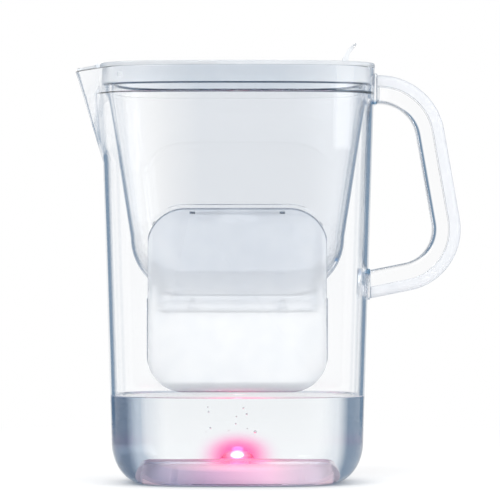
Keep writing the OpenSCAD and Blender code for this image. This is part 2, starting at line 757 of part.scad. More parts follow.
// The thumb tab's outline in X and Z: a leaf that bows towards the handle
tab_lean = 5.6;
tab_base = 2.1;
tab_tip = 0.6;
function tab_mid(u) = let (
    a = [flap_hinge_x - 1, hinge_z + 0.6],
    b = [flap_hinge_x - 0.6, hinge_z + tab_h * 0.62],
    c = [flap_hinge_x + tab_lean, lid_top_z + tab_h - tab_tip]
) a * pow(1 - u, 2) + b * 2 * u * (1 - u) + c * pow(u, 2);
function tab_side(u, s) = let (
    d = tab_mid(min(1, u + 0.02)) - tab_mid(u - 0.02),
    n = [-d.y, d.x] / norm(d),
    half = tab_base + (tab_tip - tab_base) * u
) tab_mid(u) + n * half * s;
tab_steps = 8;

module fill_flap() {
    color([0.94, 0.96, 0.98, 0.85]) difference() {
        union() {
            slab(fill_outline(rebate - seat), rebate_z, lid_top_z);
            box([fill_x1, -knuckle_half + seat, rebate_z],
                [flap_hinge_x, knuckle_half - seat, lid_top_z]);
            bar_y(flap_hinge_x, hinge_z, knuckle_r, -knuckle_half + seat, knuckle_half - seat);
            across([
                for (i = [0 : tab_steps]) tab_side(i / tab_steps, 1),
                for (i = [tab_steps : -1 : 0]) tab_side(i / tab_steps, -1),
            ], -tab_w / 2, tab_w / 2);
        }
        bar_y(flap_hinge_x, hinge_z, fill_pin_r + pin_play, -rim_d, rim_d);
    }
}

// The spout flap covers the spout's mouth and lies along its dipping lip
lip_tilt = atan(spout_dip / spout_reach);
spout_flap_t = 1.3;
spout_steps = 8;
spout_flap_root = 0.9;
function lip_half(out) =
    spout_span / 2 * (1 - pow(out / spout_reach, 1 / spout_curve)) - seat;
function spout_outline() = let (
    outs = [for (i = [0 : spout_steps])
        spout_flap_root + (spout_reach - 1.2 - spout_flap_root) * i / spout_steps]
) [
    for (out = outs) [-out, -lip_half(out)],
    for (i = [spout_steps : -1 : 0]) [-outs[i], lip_half(outs[i])],
];

module spout_flap() {
    color([0.94, 0.96, 0.98, 0.85]) difference() {
        union() {
            translate([-rim_w / 2, 0, rim_z + seat]) rotate([0, -lip_tilt, 0])
                linear_extrude(spout_flap_t) polygon(spout_outline());
            bar_y(spout_hinge_x, spout_hinge_z, spout_knuckle_r, -spout_knuckle_half,
                spout_knuckle_half);
        }
        for (side = [-1, 1]) scale([1, side, 1])
            box([spout_hinge_x - spout_knuckle_r - 0.4, spout_knuckle_half, rim_z - eps],
                [0, spout_knuckle_half + 2 * seat + spout_lug_l, lid_top_z + eps]);
        bar_y(spout_hinge_x, spout_hinge_z, spout_pin_r + pin_play, -rim_d, rim_d);
    }
}

// ---- light ----------------------------------------------------------------------------------

puck_in = puck_r - puck_wall;
puck_top_z = recess_h;
cover_z = 1;
lug_turn = 30;         // angle that one bayonet lug spans
ledge_turn = 40;       // angle that one bayonet ledge spans
cover_r = puck_in - 1.5;
cover_top_z = puck_bottom_z + 3;
ledge_top_z = puck_bottom_z + 1.5;
board_r = puck_in - 0.4;
board_t = 1.2;
gasket_r = 0.75;
holder_z = cover_top_z + 2 * gasket_r + 0.1;
holder_h = 2.8;
board_z = holder_z + holder_h;
cell_gap = 0.5;        // room for the spring between cell and board
post_r = 1.2;

// A ring sector: from r0 to r1, z0 to z1, spanning an angle about +X
module sector(r0, r1, z0, z1, span) {
    rotate([0, 0, -span / 2]) rotate_extrude(angle = span)
        translate([r0, z0]) square([r1 - r0, z1 - z0]);
}

module light_housing() {
    color([0.93, 0.90, 0.94]) difference() {
        union() {
            difference() {
                cylinder(h = puck_top_z, r = puck_r);
                translate([0, 0, -eps]) cylinder(h = puck_top_z - puck_wall + eps, r = puck_in);
            }
            for (i = [0 : 2]) rotate([0, 0, 120 * i]) {
                sector(cover_r + seat, puck_in + 0.5, puck_bottom_z, ledge_top_z, ledge_turn);
                rotate([0, 0, 60]) translate([board_r - 3, 0, board_z + board_t])
                    cylinder(h = puck_top_z - puck_wall / 2 - board_z - board_t, r = post_r);
            }
        }
        translate([0, 0, -eps]) cylinder(h = puck_bottom_z + eps, r = puck_r + eps);
        cylinder(h = 2 * puck_top_z, r = lens_r + seat / 2);
    }
}

lens_wall = 1.1;
module light_lens() {
    neck_z = puck_top_z - puck_wall;
    dome_z = puck_top_z - 0.8;
    color([0.98, 0.85, 0.93, 0.6]) difference() {
        union() {
            translate([0, 0, neck_z - 0.8]) cylinder(h = 0.8, r = lens_r + 1.6);
            translate([0, 0, neck_z - 0.4]) cylinder(h = dome_z - neck_z + 0.4, r = lens_r);
            translate([0, 0, dome_z]) difference() {
                sphere(r = lens_r);
                translate([-puck_r, -puck_r, -2 * puck_r])
                    cube([2 * puck_r, 2 * puck_r, 2 * puck_r]);
            }
        }
        translate([0, 0, neck_z - 2]) cylinder(h = dome_z - neck_z + 2, r = lens_r - lens_wall);
        translate([0, 0, dome_z]) sphere(r = lens_r - lens_wall);
    }
}

led_flange = 0.5;
module light_led() {
    z = board_z + board_t;
    color([0.98, 0.25, 0.55]) union() {
        translate([0, 0, z]) cylinder(h = 1, r = led_r + led_flange);
        translate([0, 0, z]) cylinder(h = 3, r = led_r);
        translate([0, 0, z + 3]) sphere(r = led_r);
    }
}

module light_board() {
    color([0.16, 0.42, 0.27]) difference() {
        translate([0, 0, board_z]) cylinder(h = board_t, r = board_r);
        for (i = [0 : 2]) rotate([0, 0, 120 * i]) translate([board_r, 0, board_z - eps])
            cylinder(h = board_t + 2 * eps, r = 1.5);
    }
}

module cell_holder() {
    color([0.90, 0.90, 0.92]) translate([0, 0, holder_z]) difference() {
        cylinder(h = holder_h, r = board_r);
        translate([0, 0, -eps]) cylinder(h = holder_h + 2 * eps, r = cell_r + seat);
        for (i = [0 : 2]) rotate([0, 0, 120 * i + 60])
            translate([cell_r, -2, -eps]) cube([2.4, 4, holder_h + 2 * eps]);
    }
}

module coin_cell() {
    top = board_z - cell_gap;
    color([0.78, 0.79, 0.81]) union() {
        translate([0, 0, top - cell_t + 0.3]) cylinder(h = cell_t - 0.3, r = cell_r);
        translate([0, 0, top - cell_t]) cylinder(h = 0.6, r = cell_r - 1.4);
    }
}

module cell_spring() {
    color([0.82, 0.74, 0.45]) translate([0, 0, board_z - cell_gap]) union() {
        cylinder(h = cell_gap, r = 2);
        for (i = [0 : 2]) rotate([0, 0, 120 * i])
            translate([0, -1, 0]) cube([cell_r - 1, 2, cell_gap]);
    }
}

module cover_gasket() {
    color([0.20, 0.20, 0.22]) translate([0, 0, cover_top_z + gasket_r + 0.05])
        rotate_extrude() translate([cover_r - 1.4, 0]) circle(r = gasket_r);
}

module light_cover() {
    color([0.93, 0.90, 0.94]) difference() {
        union() {
            translate([0, 0, cover_z]) cylinder(h = cover_top_z - cover_z, r = cover_r);
            for (i = [0 : 2]) rotate([0, 0, 120 * i])
                sector(cover_r - 1, puck_in - seat, ledge_top_z + seat, cover_top_z, lug_turn);
        }
        box([-7, -0.9, cover_z - eps], [7, 0.9, cover_z + 1]);
    }
}

jug_body();
handle_core();
handle_grip();
light_housing();
light_lens();
light_led();
light_board();
cell_holder();
coin_cell();
cell_spring();
cover_gasket();
light_cover();
hopper();
cartridge_sleeve();
cartridge_shell();
cartridge_cap();
cartridge_seal();
outlet_mesh();
carbon_bed();
inlet_mesh();
mineral_bed();
lid_frame();
fill_hinge_pin();
spout_hinge_pin();
fill_flap();
spout_flap();
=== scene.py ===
"""Looks of a water filter pitcher: a clear jug with a spout and a loop handle, a funnel with a
frosted basket and a cartridge, a lid with two flaps, and a pink light under the raised floor.

Metres. X points to the handle and Z up; the origin is on the jug's axis, where it stands.
The clear and frosted shells are built again here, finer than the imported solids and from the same
rules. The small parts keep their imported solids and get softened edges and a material.
"""

import math

import bpy
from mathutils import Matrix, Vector


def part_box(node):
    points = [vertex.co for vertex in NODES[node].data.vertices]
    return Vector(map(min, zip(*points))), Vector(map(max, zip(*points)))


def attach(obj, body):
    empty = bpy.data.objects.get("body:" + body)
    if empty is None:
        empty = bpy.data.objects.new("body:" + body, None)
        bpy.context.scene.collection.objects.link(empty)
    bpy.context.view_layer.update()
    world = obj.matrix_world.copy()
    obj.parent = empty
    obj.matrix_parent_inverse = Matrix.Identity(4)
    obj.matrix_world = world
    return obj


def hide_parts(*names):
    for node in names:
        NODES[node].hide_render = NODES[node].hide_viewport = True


bl_info = {
    "name": "Water filter pitcher",
    "version": (1, 0, 0),
    "blender": (4, 5, 0),
    "location": "View3D > Sidebar > Pitcher",
    "description": "Builds the pitcher's shells, finishes, water and studio round its packed frame",
    "category": "Object",
}

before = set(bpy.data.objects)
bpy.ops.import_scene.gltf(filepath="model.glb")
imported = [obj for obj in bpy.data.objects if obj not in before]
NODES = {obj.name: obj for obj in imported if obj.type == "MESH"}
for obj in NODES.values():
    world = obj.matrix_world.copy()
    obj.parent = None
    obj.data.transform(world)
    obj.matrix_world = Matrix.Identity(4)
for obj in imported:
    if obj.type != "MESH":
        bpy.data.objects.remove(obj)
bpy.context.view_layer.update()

MM = 0.001
PLAN_STEPS = 288  # points round a plan outline
EVEN = 1.55  # spreads an outline's points evenly over its flat sides
SPOUT_STEPS = (0.06, 0.15, 0.3, 0.45, 0.6, 0.75, 0.88)  # heights of the spout's rings, as shares
WALL_STEPS = (0.001, 0.01, 0.06, 0.12)  # heights of the wall's rings above the foot's round
SEAT = 0.3 * MM  # clearance between parts that lie in each other
HAIR = 0.04 * MM  # half the gap that keeps two bonded clear solids apart
LAP = 0.15 * MM  # how far the water runs into the wall
EPS = 1 * MM  # how far a cutting form runs past what it cuts


# ---- settings -----------------------------------------------------------------------------------


def size(name, description, metres):
    """A length in metres."""
    return bpy.props.FloatProperty(
        name=name, description=description, default=metres, precision=4, unit="LENGTH"
    )


def number(name, description, value):
    return bpy.props.FloatProperty(name=name, description=description, default=value, precision=3)


def count(name, description, value):
    return bpy.props.IntProperty(name=name, description=description, default=value, min=1)


def colour(name, description, value):
    return bpy.props.FloatVectorProperty(
        name=name,
        description=description,
        default=value,
        size=3,
        min=0,
        max=1,
        subtype="COLOR",
    )


RIM_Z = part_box("jug_body")[1].z
RIM_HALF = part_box("jug_body")[1].y
FLOOR_OF_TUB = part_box("hopper")[0].z + 10.1 * MM
BASKET_LOW, BASKET_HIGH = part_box("cartridge_sleeve")
LENS_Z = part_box("light_lens")[1].z
WATER_IOR = 1.33


class JugSettings(bpy.types.PropertyGroup):
    """Sizes of the clear jug"""

    foot_w: size("Foot width", "Width where the wall line meets the table", 0.151)
    foot_d: size("Foot depth", "Depth where the wall line meets the table", 0.096)
    rim_w: size("Rim width", "Width at the rim, without the spout", 0.1666)
    rim_d: size("Rim depth", "Depth at the rim", 2 * RIM_HALF)
    rim_z: size("Height", "Height of the rim above the table", RIM_Z)
    squareness: number("Squareness", "2 is an ellipse in plan, 4 is nearly a rectangle", 3.1)
    wall: size("Wall", "Wall thickness below the ledge", 0.0032)
    rim_wall: size("Rim wall", "Wall thickness above the ledge", 0.0016)
    ledge_drop: size("Ledge depth", "Depth of the ledge below the rim", 0.0154)
    foot_round_h: size("Foot corner height", "Height of the rounded foot corner", 0.024)
    foot_round_w: size("Foot corner, ends", "How far it draws in at the ends", 0.018)
    foot_round_d: size("Foot corner, sides", "How far it draws in at front and back", 0.014)
    spout_reach: size("Spout reach", "How far the spout reaches beyond the wall", 0.0155)
    spout_h: size("Spout height", "Height of the spout from its foot to the rim", 0.0576)
    spout_span: size("Spout width", "Width where the spout leaves the wall", 0.060)
    spout_curve: number("Spout hollow", "1 has straight flanks, 3 deeply curved ones", 2.2)
    spout_fold: size("Spout fold", "Size of the round fold down the spout", 0.0015)
    spout_dip: size("Lip dip", "How far the lip dips below the rim", 0.0014)
    recess_w: size("Recess width", "Length of the recess in the underside", 0.107)
    recess_d: size("Recess depth", "Recess from front to back", 0.058)
    recess_h: size("Recess height", "Height of the recess", 0.014)
    floor_t: size("Floor", "Thickness of the floor", 0.003)
    dome_r: size("Dome radius", "Radius of the light dome", 0.010)
    dome_h: size("Dome height", "Height of the dome above the raised floor", 0.0038)


class HandleSettings(bpy.types.PropertyGroup):
    """Sizes of the loop handle"""

    seam_top: bpy.props.FloatVectorProperty(
        name="Upper corner",
        description="X and Z of the seam's upper corner, before rounding",
        default=(0.1137, 0.2399),
        size=2,
        precision=4,
        unit="LENGTH",
    )
    seam_low: bpy.props.FloatVectorProperty(
        name="Lower corner",
        description="X and Z of the seam's lower corner, before rounding",
        default=(0.1331, 0.1292),
        size=2,
        precision=4,
        unit="LENGTH",
    )
    leg_slope: number("Leg slope", "Slope of the lower leg, rise over run", 0.2)
    bend_top_r: size("Upper bend", "Radius of the seam at the upper corner", 0.033)
    bend_low_r: size("Lower bend", "Radius of the seam at the lower corner", 0.031)
    core_t: size("Core thickness", "Thickness of the clear core", 0.010)
    core_w: size("Core width", "Width of the clear core", 0.021)
    core_round: size("Core edge", "Edge radius of the core", 0.004)
    grip_t: size("Grip thickness", "Thickness of the frosted grip", 0.0067)
    grip_w: size("Grip width", "Width of the frosted grip", 0.024)
    grip_round: size("Grip edge", "Edge radius of the grip", 0.0034)
    root_flare: number("Root flare", "How much wider the handle is at its roots", 0.28)
    flare_reach: size("Flare reach", "Length over which a root widens", 0.026)
    pad_proud: size("Pad", "How far the root pads stand proud of the wall", 0.0012)
    bend_steps: count("Bend steps", "Points round one bend", 28)


class FunnelSettings(bpy.types.PropertyGroup):
    """Sizes of the funnel and the basket clipped to it"""

    flange_gap: size("Flange gap", "Gap between the flange and the jug", 0.0004)
    flange_h: size("Flange height", "Height of the flange", 0.0054)
    tub_gap: size("Tub gap", "Gap between the tub and the jug's ledge", 0.0007)
    tub_wall: size("Tub wall", "Wall thickness of the tub", 0.0022)
    tub_draft: number("Draft", "Inset of the tub's wall per unit of height", 0.158)
    tub_floor_z: size("Tub floor", "Height of the tub's floor", FLOOR_OF_TUB)
    tub_round_w: size("Bottom corner, ends", "Radius at the narrow ends", 0.035)
    tub_round_d: size("Bottom corner, sides", "Radius at front and back", 0.009)
    collar_h: size("Collar", "Height of the collar below the floor", 0.0101)
    collar_rise: size("Collar rise", "How far the collar runs up inside", 0.008)
    step_t: size("Step", "Thickness of the step that carries the cartridge", 0.0024)
    basket_w: size("Basket width", "Width of the basket", BASKET_HIGH.x - BASKET_LOW.x)
    basket_d: size("Basket depth", "Depth of the basket", BASKET_HIGH.y - BASKET_LOW.y)
    basket_bottom_z: size("Basket bottom", "Height of its underside", BASKET_LOW.z)
    basket_top_z: size("Basket top", "Height of its two plates", BASKET_HIGH.z)
    basket_side_z: size("Basket sides", "Height of its edge at the narrow ends", 0.112)
    basket_r: size("Plate corner", "Corner radius of the plates", 0.023)
    basket_edge_r: size("Lower edge", "Radius of the lower front and back edges", 0.007)
    basket_wall: size("Basket wall", "Wall thickness of the basket", 0.0018)
    hook_x: size("Hooks", "Distance of the hooks from the middle", 0.0269)
    drain_slots: count("Drain slots", "Slots in the basket's floor", 5)
    drain_pitch: size("Drain pitch", "Distance between the slots", 0.012)
    drain_w: size("Drain width", "Width of a slot", 0.003)


class CartridgeSettings(bpy.types.PropertyGroup):
    """Sizes of the cartridge, which the collar's bore fits"""

    cart_w: size("Shell width", "Width of the lower shell", 0.084)
    cart_d: size("Shell depth", "Depth of the lower shell", 0.044)
    cart_r: size("Shell corner", "Corner radius seen from above", 0.016)
    cart_wall: size("Shell wall", "Wall thickness", 0.0016)
    cart_flange: size("Flange", "How far the flange stands out", 0.0027)
    bore_gap: size("Bore gap", "Gap between the flange and the collar's bore", 0.0005)
    wire_pitch: size("Wire pitch", "Distance between two wires of the meshes", 0.0022)
    wire_r: size("Wire radius", "Radius of a wire", 0.00018)
    granule: size("Granule", "Radius of a carbon granule", 0.0007)
    granules_per_cm2: number("Granules", "Granules on a square centimetre of a bed", 26.0)


class LidSettings(bpy.types.PropertyGroup):
    """Sizes of the lid and its flaps"""

    lid_t: size("Plate", "Thickness of the lid's plate", 0.0025)
    skirt_wall: size("Skirt wall", "Wall thickness of the skirt", 0.0018)
    skirt_gap: size("Skirt gap", "Gap between the skirt and the jug", 0.0005)
    lid_break: size("Edge round", "Round of the plate's upper edge", 0.0008)
    hinge_x: size("Fill hinge", "X of the fill flap's hinge", 0.066)
    hinge_back: size("Hinge distance", "From the fill opening to its hinge", 0.008)
    fill_l: size("Opening length", "Length of the fill opening", 0.072)
    fill_w: size("Opening width", "Width of the fill opening", 0.052)
    fill_r: size("Opening corner", "Corner radius of the fill opening", 0.008)
    rebate: size("Rebate", "Border that the flap lies on", 0.003)
    flap_t: size("Flap", "Thickness of the fill flap", 0.0015)
    tab_h: size("Tab height", "Height of the thumb tab's tip above the lid", 0.0129)
    tab_w: size("Tab width", "Width of the thumb tab", 0.018)
    knuckle_half: size("Knuckle", "Half the length of the flap's knuckle", 0.012)
    pin_r: size("Fill pin", "Radius of the fill flap's hinge pin", 0.0012)
    spout_pin_r: size("Spout pin", "Radius of the spout flap's hinge pin", 0.0009)


class WaterSettings(bpy.types.PropertyGroup):
    """The water in the jug and the light's glow in it"""

    level: size("Water level", "Height of the water above the table", 0.0528)
    meniscus: size("Meniscus", "How far the water climbs at the wall", 0.0007)
    bubbles: count("Bubbles", "Number of air bubbles", 12)
    bubble_r: size("Bubble radius", "Radius of the largest bubbles", 0.00085)
    glow_r: size("Glow radius", "Reach of the light's glow in the water", 0.030)
    glow: number("Glow strength", "Brightness of the glow in the water", 260.0)


class FinishSettings(bpy.types.PropertyGroup):
    """Colours of the plastics and of the light"""

    clear: colour("Clear plastic", "Colour of the clear plastic face on", (0.985, 0.99, 0.996))
    # Painted shade: the slate blue that clear plastics take where the sight grazes them.
    clear_painted_edge_shade: colour("Clear edge", "Colour it takes at grazing sight", (0.74, 0.81, 0.89))
    # Painted shade: the deep blue at the grazing edges of all clear plastics, not only the
    # flange's.
    painted_deep_edge_shade: colour("Deep edge", "Colour of the flange's upper edge", (0.10, 0.17, 0.26))
    tub: colour("Funnel tint", "Colour of the funnel's plastic face on", (0.915, 0.93, 0.95))
    frosted: colour("Frosted plastic", "Colour of the frosted plastic", (0.965, 0.975, 0.985))
    # Painted shade at the grazing edges of frosted plastics; it also tints their random mottle.
    frosted_painted_edge_and_mottle: colour("Frosted edge", "Colour it takes at grazing sight", (0.60, 0.68, 0.78))
    satin: colour("Satin plastic", "Colour of the cartridge", (0.955, 0.96, 0.965))
    light_plastic: colour("Light housing", "Colour of the light's housing", (0.90, 0.80, 0.87))
    basket: colour("Basket", "Colour of the basket's frosted plates", (0.985, 0.987, 0.99))
    grip: colour("Grip", "Colour of the frosted grip", (0.89, 0.90, 0.92))
    # Painted light: the diode's lilac, put on the raised floor over the light.
    lilac: colour("Lit floor", "Tint of the raised floor over the light", (0.80, 0.64, 0.80))
    pink: colour("Light", "Colour of the light", (1.0, 0.02, 0.28))
    # Painted light: the diode's pink, put on the plastic close to the lens.
    painted_pink_glow: colour("Lit plastic", "Tint of the plastic close to the light", (1.0, 0.66, 0.80))
    water: colour("Water", "Colour of the water", (0.96, 0.98, 0.99))


class StageSettings(bpy.types.PropertyGroup):
    """Camera, light and floor"""

    eye_x: size("Camera X", "The camera's place beside the jug's axis", 0.0076)
    eye_z: size("Camera height", "The camera's height above the table", 0.141)
    distance: size("Camera distance", "From the camera to the jug's middle plane", 1.85)
    lens: number("Lens", "Focal length on a 36 mm sensor", 219.0)
    floor_r: size("Floor radius", "Radius of the floor", 6.0)
    strip: colour("Strips", "Colour of the strips between the light panels", (0.16, 0.25, 0.36))


class PitcherSettings(bpy.types.PropertyGroup):
    """All settings of the pitcher"""

    jug: bpy.props.PointerProperty(type=JugSettings)
    handle: bpy.props.PointerProperty(type=HandleSettings)
    funnel: bpy.props.PointerProperty(type=FunnelSettings)
    cartridge: bpy.props.PointerProperty(type=CartridgeSettings)
    lid: bpy.props.PointerProperty(type=LidSettings)
    water: bpy.props.PointerProperty(type=WaterSettings)
    finish: bpy.props.PointerProperty(type=FinishSettings)
    stage: bpy.props.PointerProperty(type=StageSettings)


# ---- outlines -----------------------------------------------------------------------------------


def signed_power(value, exponent):
    return math.copysign(abs(value) ** exponent, value)


def plan_angle(i, steps):
    quarter = steps // 4
    u = i % quarter / quarter
    spread = u**EVEN / (u**EVEN + (1 - u) ** EVEN)
    return math.pi / 2 * (i // quarter + spread)


def oval(hx, hy, z, power, steps=PLAN_STEPS):
    """A superellipse at height z, counter-clockwise from +X."""
    ring = []
    for i in range(steps):
        a = plan_angle(i, steps)
        x = hx * signed_power(math.cos(a), 2 / power)
        y = hy * signed_power(math.sin(a), 2 / power)
        ring.append((x, y, z))
    return ring


def rounded(hx, hy, r, steps=16):
    """A rectangle with round corners, counter-clockwise."""
    outline = []
    for corner, (sx, sy) in enumerate([(1, 1), (-1, 1), (-1, -1), (1, -1)]):
        for step in range(steps + 1):
            a = math.pi / 2 * (corner + step / steps)
            outline.append((sx * (hx - r) + r * math.cos(a), sy * (hy - r) + r * math.sin(a)))
    return outline


def turns(start, end, steps):
    return [math.radians(start + (end - start) * i / steps) for i in range(steps + 1)]


# ---- solids -------------------------------------------------------------------------------------


def solid(name, points, faces):
    mesh = bpy.data.meshes.new(name)
    mesh.from_pydata(points, [], faces)
    mesh.update()
    piece = bpy.data.objects.new(name, mesh)
    bpy.context.scene.collection.objects.link(piece)
    return piece


def loft(name, rings):
    """A closed solid through rings of equal length, with a face over its first and last ring."""
    n = len(rings[0])
    last = (len(rings) - 1) * n
    faces = [list(range(n - 1, -1, -1)), list(range(last, last + n))]
    for k in range(len(rings) - 1):
        for i in range(n):
            a, b = k * n + i, k * n + (i + 1) % n
            faces.append([a, b, b + n, a + n])
    return solid(name, [p for ring in rings for p in ring], faces)


def prism(name, outline, axis, low, high):
    """An outline drawn out along an axis. Its two numbers are the two axes that are left, in
    the order X, Y, Z."""
    place = {
        "X": lambda p, h: (h, p[0], p[1]),
        "Y": lambda p, h: (p[0], h, p[1]),
        "Z": lambda p, h: (p[0], p[1], h),
    }[axis]
    if axis == "Y":
        low, high = high, low
    return loft(name, [[place(p, h) for p in outline] for h in (low, high)])


def block(name, low, high):
    outline = [(low[0], low[1]), (high[0], low[1]), (high[0], high[1]), (low[0], high[1])]
    return prism(name, outline, "Z", low[2], high[2])


def bar_y(name, x, z, r, low, high, steps=32):
    outline = [
        (x + r * math.cos(2 * math.pi * i / steps), z + r * math.sin(2 * math.pi * i / steps))
        for i in range(steps)
    ]
    return prism(name, outline, "Y", low, high)


def bake(piece):
    """Turns a piece with its modifiers into a plain mesh."""
    depsgraph = bpy.context.evaluated_depsgraph_get()
    mesh = bpy.data.meshes.new_from_object(piece.evaluated_get(depsgraph))
    old = piece.data
    piece.modifiers.clear()
    piece.data = mesh
    bpy.data.meshes.remove(old)
    return piece


def combine(piece, other, operation):
    """Cuts another solid away, adds it or keeps only what both share, and removes it."""
    modifier = piece.modifiers.new(operation.lower(), "BOOLEAN")
    modifier.operation = operation
    modifier.solver = "MANIFOLD"
    modifier.object = other
    bake(piece)
    bpy.data.objects.remove(other)
    if not piece.data.polygons:
        raise RuntimeError(f"{piece.name} has nothing left after {operation}")
    return piece


def cut(piece, *others):
    for other in others:
        combine(piece, other, "DIFFERENCE")
    return piece


def add(piece, *others):
    for other in others:
        combine(piece, other, "UNION")
    return piece


def smooth(piece, degrees=32):
    """Smooth shading, with sharp edges where two faces meet at more than an angle."""
    mesh = piece.data
    mesh.polygons.foreach_set("use_smooth", [True] * len(mesh.polygons))
    mesh.set_sharp_from_angle(angle=math.radians(degrees))
    return piece


def soften(piece, width, degrees=35, segments=2):
    """Rounds a piece's sharp edges."""
    bevel = piece.modifiers.new("edge round", "BEVEL")
    bevel.width = width
    bevel.segments = segments
    bevel.limit_method = "ANGLE"
    bevel.angle_limit = math.radians(degrees)
    return bake(piece)


def finish_piece(piece, material, body, slot, *nodes):
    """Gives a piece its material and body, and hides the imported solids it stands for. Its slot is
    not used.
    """
    piece.data.materials.clear()
    piece.data.materials.append(material)
    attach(piece, body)
    if nodes:
        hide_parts(*nodes)
    return piece


# ---- node trees ---------------------------------------------------------------------------------


class Net:
    """A node tree that is written line by line."""

    def __init__(self, tree):
        self.tree = tree

    def add(self, kind, inputs=None, **settings):
        node = self.tree.nodes.new(kind)
        for name, value in settings.items():
            setattr(node, name, value)
        for key, value in (inputs or {}).items():
            self.feed(node.inputs[key], value)
        return node

    def feed(self, socket, value):
        """Links a socket to another, or to a node's first one, or sets its value. A colour comes
        without its alpha."""
        if isinstance(value, bpy.types.Node):
            value = value.outputs[0]
        if isinstance(value, bpy.types.NodeSocket):
            self.tree.links.new(value, socket)
        elif socket.type == "RGBA":
            socket.default_value = (*value[:3], 1.0)
        else:
            socket.default_value = value

    def math(self, operation, a, b=0.0, clamp=False):
        node = self.add("ShaderNodeMath", operation=operation, use_clamp=clamp)
        self.feed(node.inputs[0], a)
        self.feed(node.inputs[1], b)
        return node.outputs[0]

    def times(self, a, b):
        return self.math("MULTIPLY", a, b)

    def minus(self, a, b, clamp=False):
        return self.math("SUBTRACT", a, b, clamp)

    def over(self, value, edge):
        """1 where a number is larger than an edge, and 0 elsewhere."""
        return self.math("GREATER_THAN", value, edge)

    def under(self, value, edge):
        return self.math("LESS_THAN", value, edge)

    def unsigned(self, value):
        return self.math("ABSOLUTE", value)

    def most(self, *values):
        """The largest of some numbers."""
        largest = values[0]
        for value in values[1:]:
            largest = self.math("MAXIMUM", largest, value)
        return largest

    def scale(self, value, low, high, to_low, to_high):
        """Maps a range of numbers onto another, clamped."""
        node = self.add("ShaderNodeMapRange", {0: value, 1: low, 2: high, 3: to_low, 4: to_high})
        return node.outputs[0]

    def below(self, value, edge, soft, share=1.0):
        """A share up to an edge, which fades to 0 over a soft width past it."""
        return self.scale(value, edge, edge + soft, share, 0.0)

    def above(self, value, edge, soft, share=1.0):
        """0 up to an edge, which grows to a share over a soft width past it."""
        return self.scale(value, edge, edge + soft, 0.0, share)

    def blend(self, share, a, b, mode="MIX"):
        """Mixes two colours."""
        node = self.add("ShaderNodeMix", data_type="RGBA", blend_type=mode)
        for socket, value in zip((0, 6, 7), (share, a, b)):
            self.feed(node.inputs[socket], value)
        return node.outputs[2]

    def mix(self, share, a, b):
        """Mixes two shader nodes."""
        return self.add("ShaderNodeMixShader", {0: share, 1: a, 2: b})

    def place(self):
        """The place on the object, in metres."""
        return self.add("ShaderNodeTexCoord").outputs["Object"]

    def xyz(self):
        """The place on the object as three numbers."""
        return tuple(self.add("ShaderNodeSeparateXYZ", {0: self.place()}).outputs)

    def upward(self):
        """How far a surface faces up, from -1 to 1."""
        normal = self.add("ShaderNodeNewGeometry").outputs["Normal"]
        return self.add("ShaderNodeSeparateXYZ", {0: normal}).outputs[2]

    def grazing(self, blend=0.5):
        """How far the sight grazes a surface, from 0 to 1."""
        return self.add("ShaderNodeLayerWeight", {"Blend": blend}).outputs["Facing"]

    def length(self, **parts):
        """The length of a vector, given by its parts X, Y and Z."""
        vector = self.add("ShaderNodeCombineXYZ", parts)
        return self.add("ShaderNodeVectorMath", {0: vector}, operation="LENGTH").outputs["Value"]

    def noise(self, scale, detail, **more):
        inputs = {"Vector": self.place(), "Scale": scale, "Detail": detail, **more}
        return self.add("ShaderNodeTexNoise", inputs)


def grey(value):
    return (value, value, value)


def group(name, inputs, outputs):
    """A shader node group with named numbers in and out, and the net to write it in."""
    tree = bpy.data.node_groups.new(name, "ShaderNodeTree")
    for label, default in inputs.items():
        socket = tree.interface.new_socket(label, in_out="INPUT", socket_type="NodeSocketFloat")
        socket.default_value = default
    for label in outputs:
        tree.interface.new_socket(label, in_out="OUTPUT", socket_type="NodeSocketFloat")
    net = Net(tree)
    return net, net.add("NodeGroupInput").outputs, net.add("NodeGroupOutput").inputs


def grain_group():
    """Moulded plastic: a fine grain, slow flow waves and a faint mottle, as heights and masks."""
    inputs = {"Grain size": 0.0004, "Flow size": 0.03}
    net, given, out = group("Moulded grain", inputs, ("Height", "Flow", "Mottle"))
    fine = net.math("DIVIDE", 1.0, given["Grain size"])
    slow = net.math("DIVIDE", 1.0, given["Flow size"])
    net.feed(out["Height"], net.noise(fine, 2.0))
    net.feed(out["Flow"], net.noise(slow, 1.0, Distortion=0.6))
    net.feed(out["Mottle"], net.noise(net.times(slow, 2.4), 4.0))
    return net.tree


def wear_group():
    """Handling wear: hair scratches in two directions, and a dust that lies on what faces up."""
    inputs = {"Scratches": 0.3, "Dust": 0.1}
    net, given, out = group("Handling wear", inputs, ("Scratch", "Dust"))
    hair = (3600.0, 30.0, 300.0)
    lines = []
    for turn in (0.5, -1.1):
        way = {"Vector": net.place(), "Rotation": (turn, 0.4, turn), "Scale": hair}
        turned = net.add("ShaderNodeMapping", way)
        lines.append(net.above(net.noise(1.0, 2.0, Vector=turned), 0.70, 0.10))
    net.feed(out["Scratch"], net.times(net.most(*lines), given["Scratches"]))
    lies = net.times(net.above(net.upward(), 0.3, 0.7), given["Dust"])
    net.feed(out["Dust"], net.times(net.above(net.noise(700.0, 3.0), 0.45, 0.30), lies))
    return net.tree


def glow_group():
    """The light's pink as it falls off with distance from the lens, from 1 to 0."""
    inputs = {"Reach": 0.03, "Flatten": 1.0, "Power": 2.0}
    net, given, out = group("Light falloff", inputs, ("Falloff",))
    x, y, z = net.xyz()
    tall = net.times(net.minus(z, LENS_Z), given["Flatten"])
    distance = net.length(X=x, Y=y, Z=tall)
    near = net.minus(1.0, net.math("DIVIDE", distance, given["Reach"]), clamp=True)
    net.feed(out["Falloff"], net.math("POWER", near, given["Power"]))
    return net.tree


GROUPS = {}


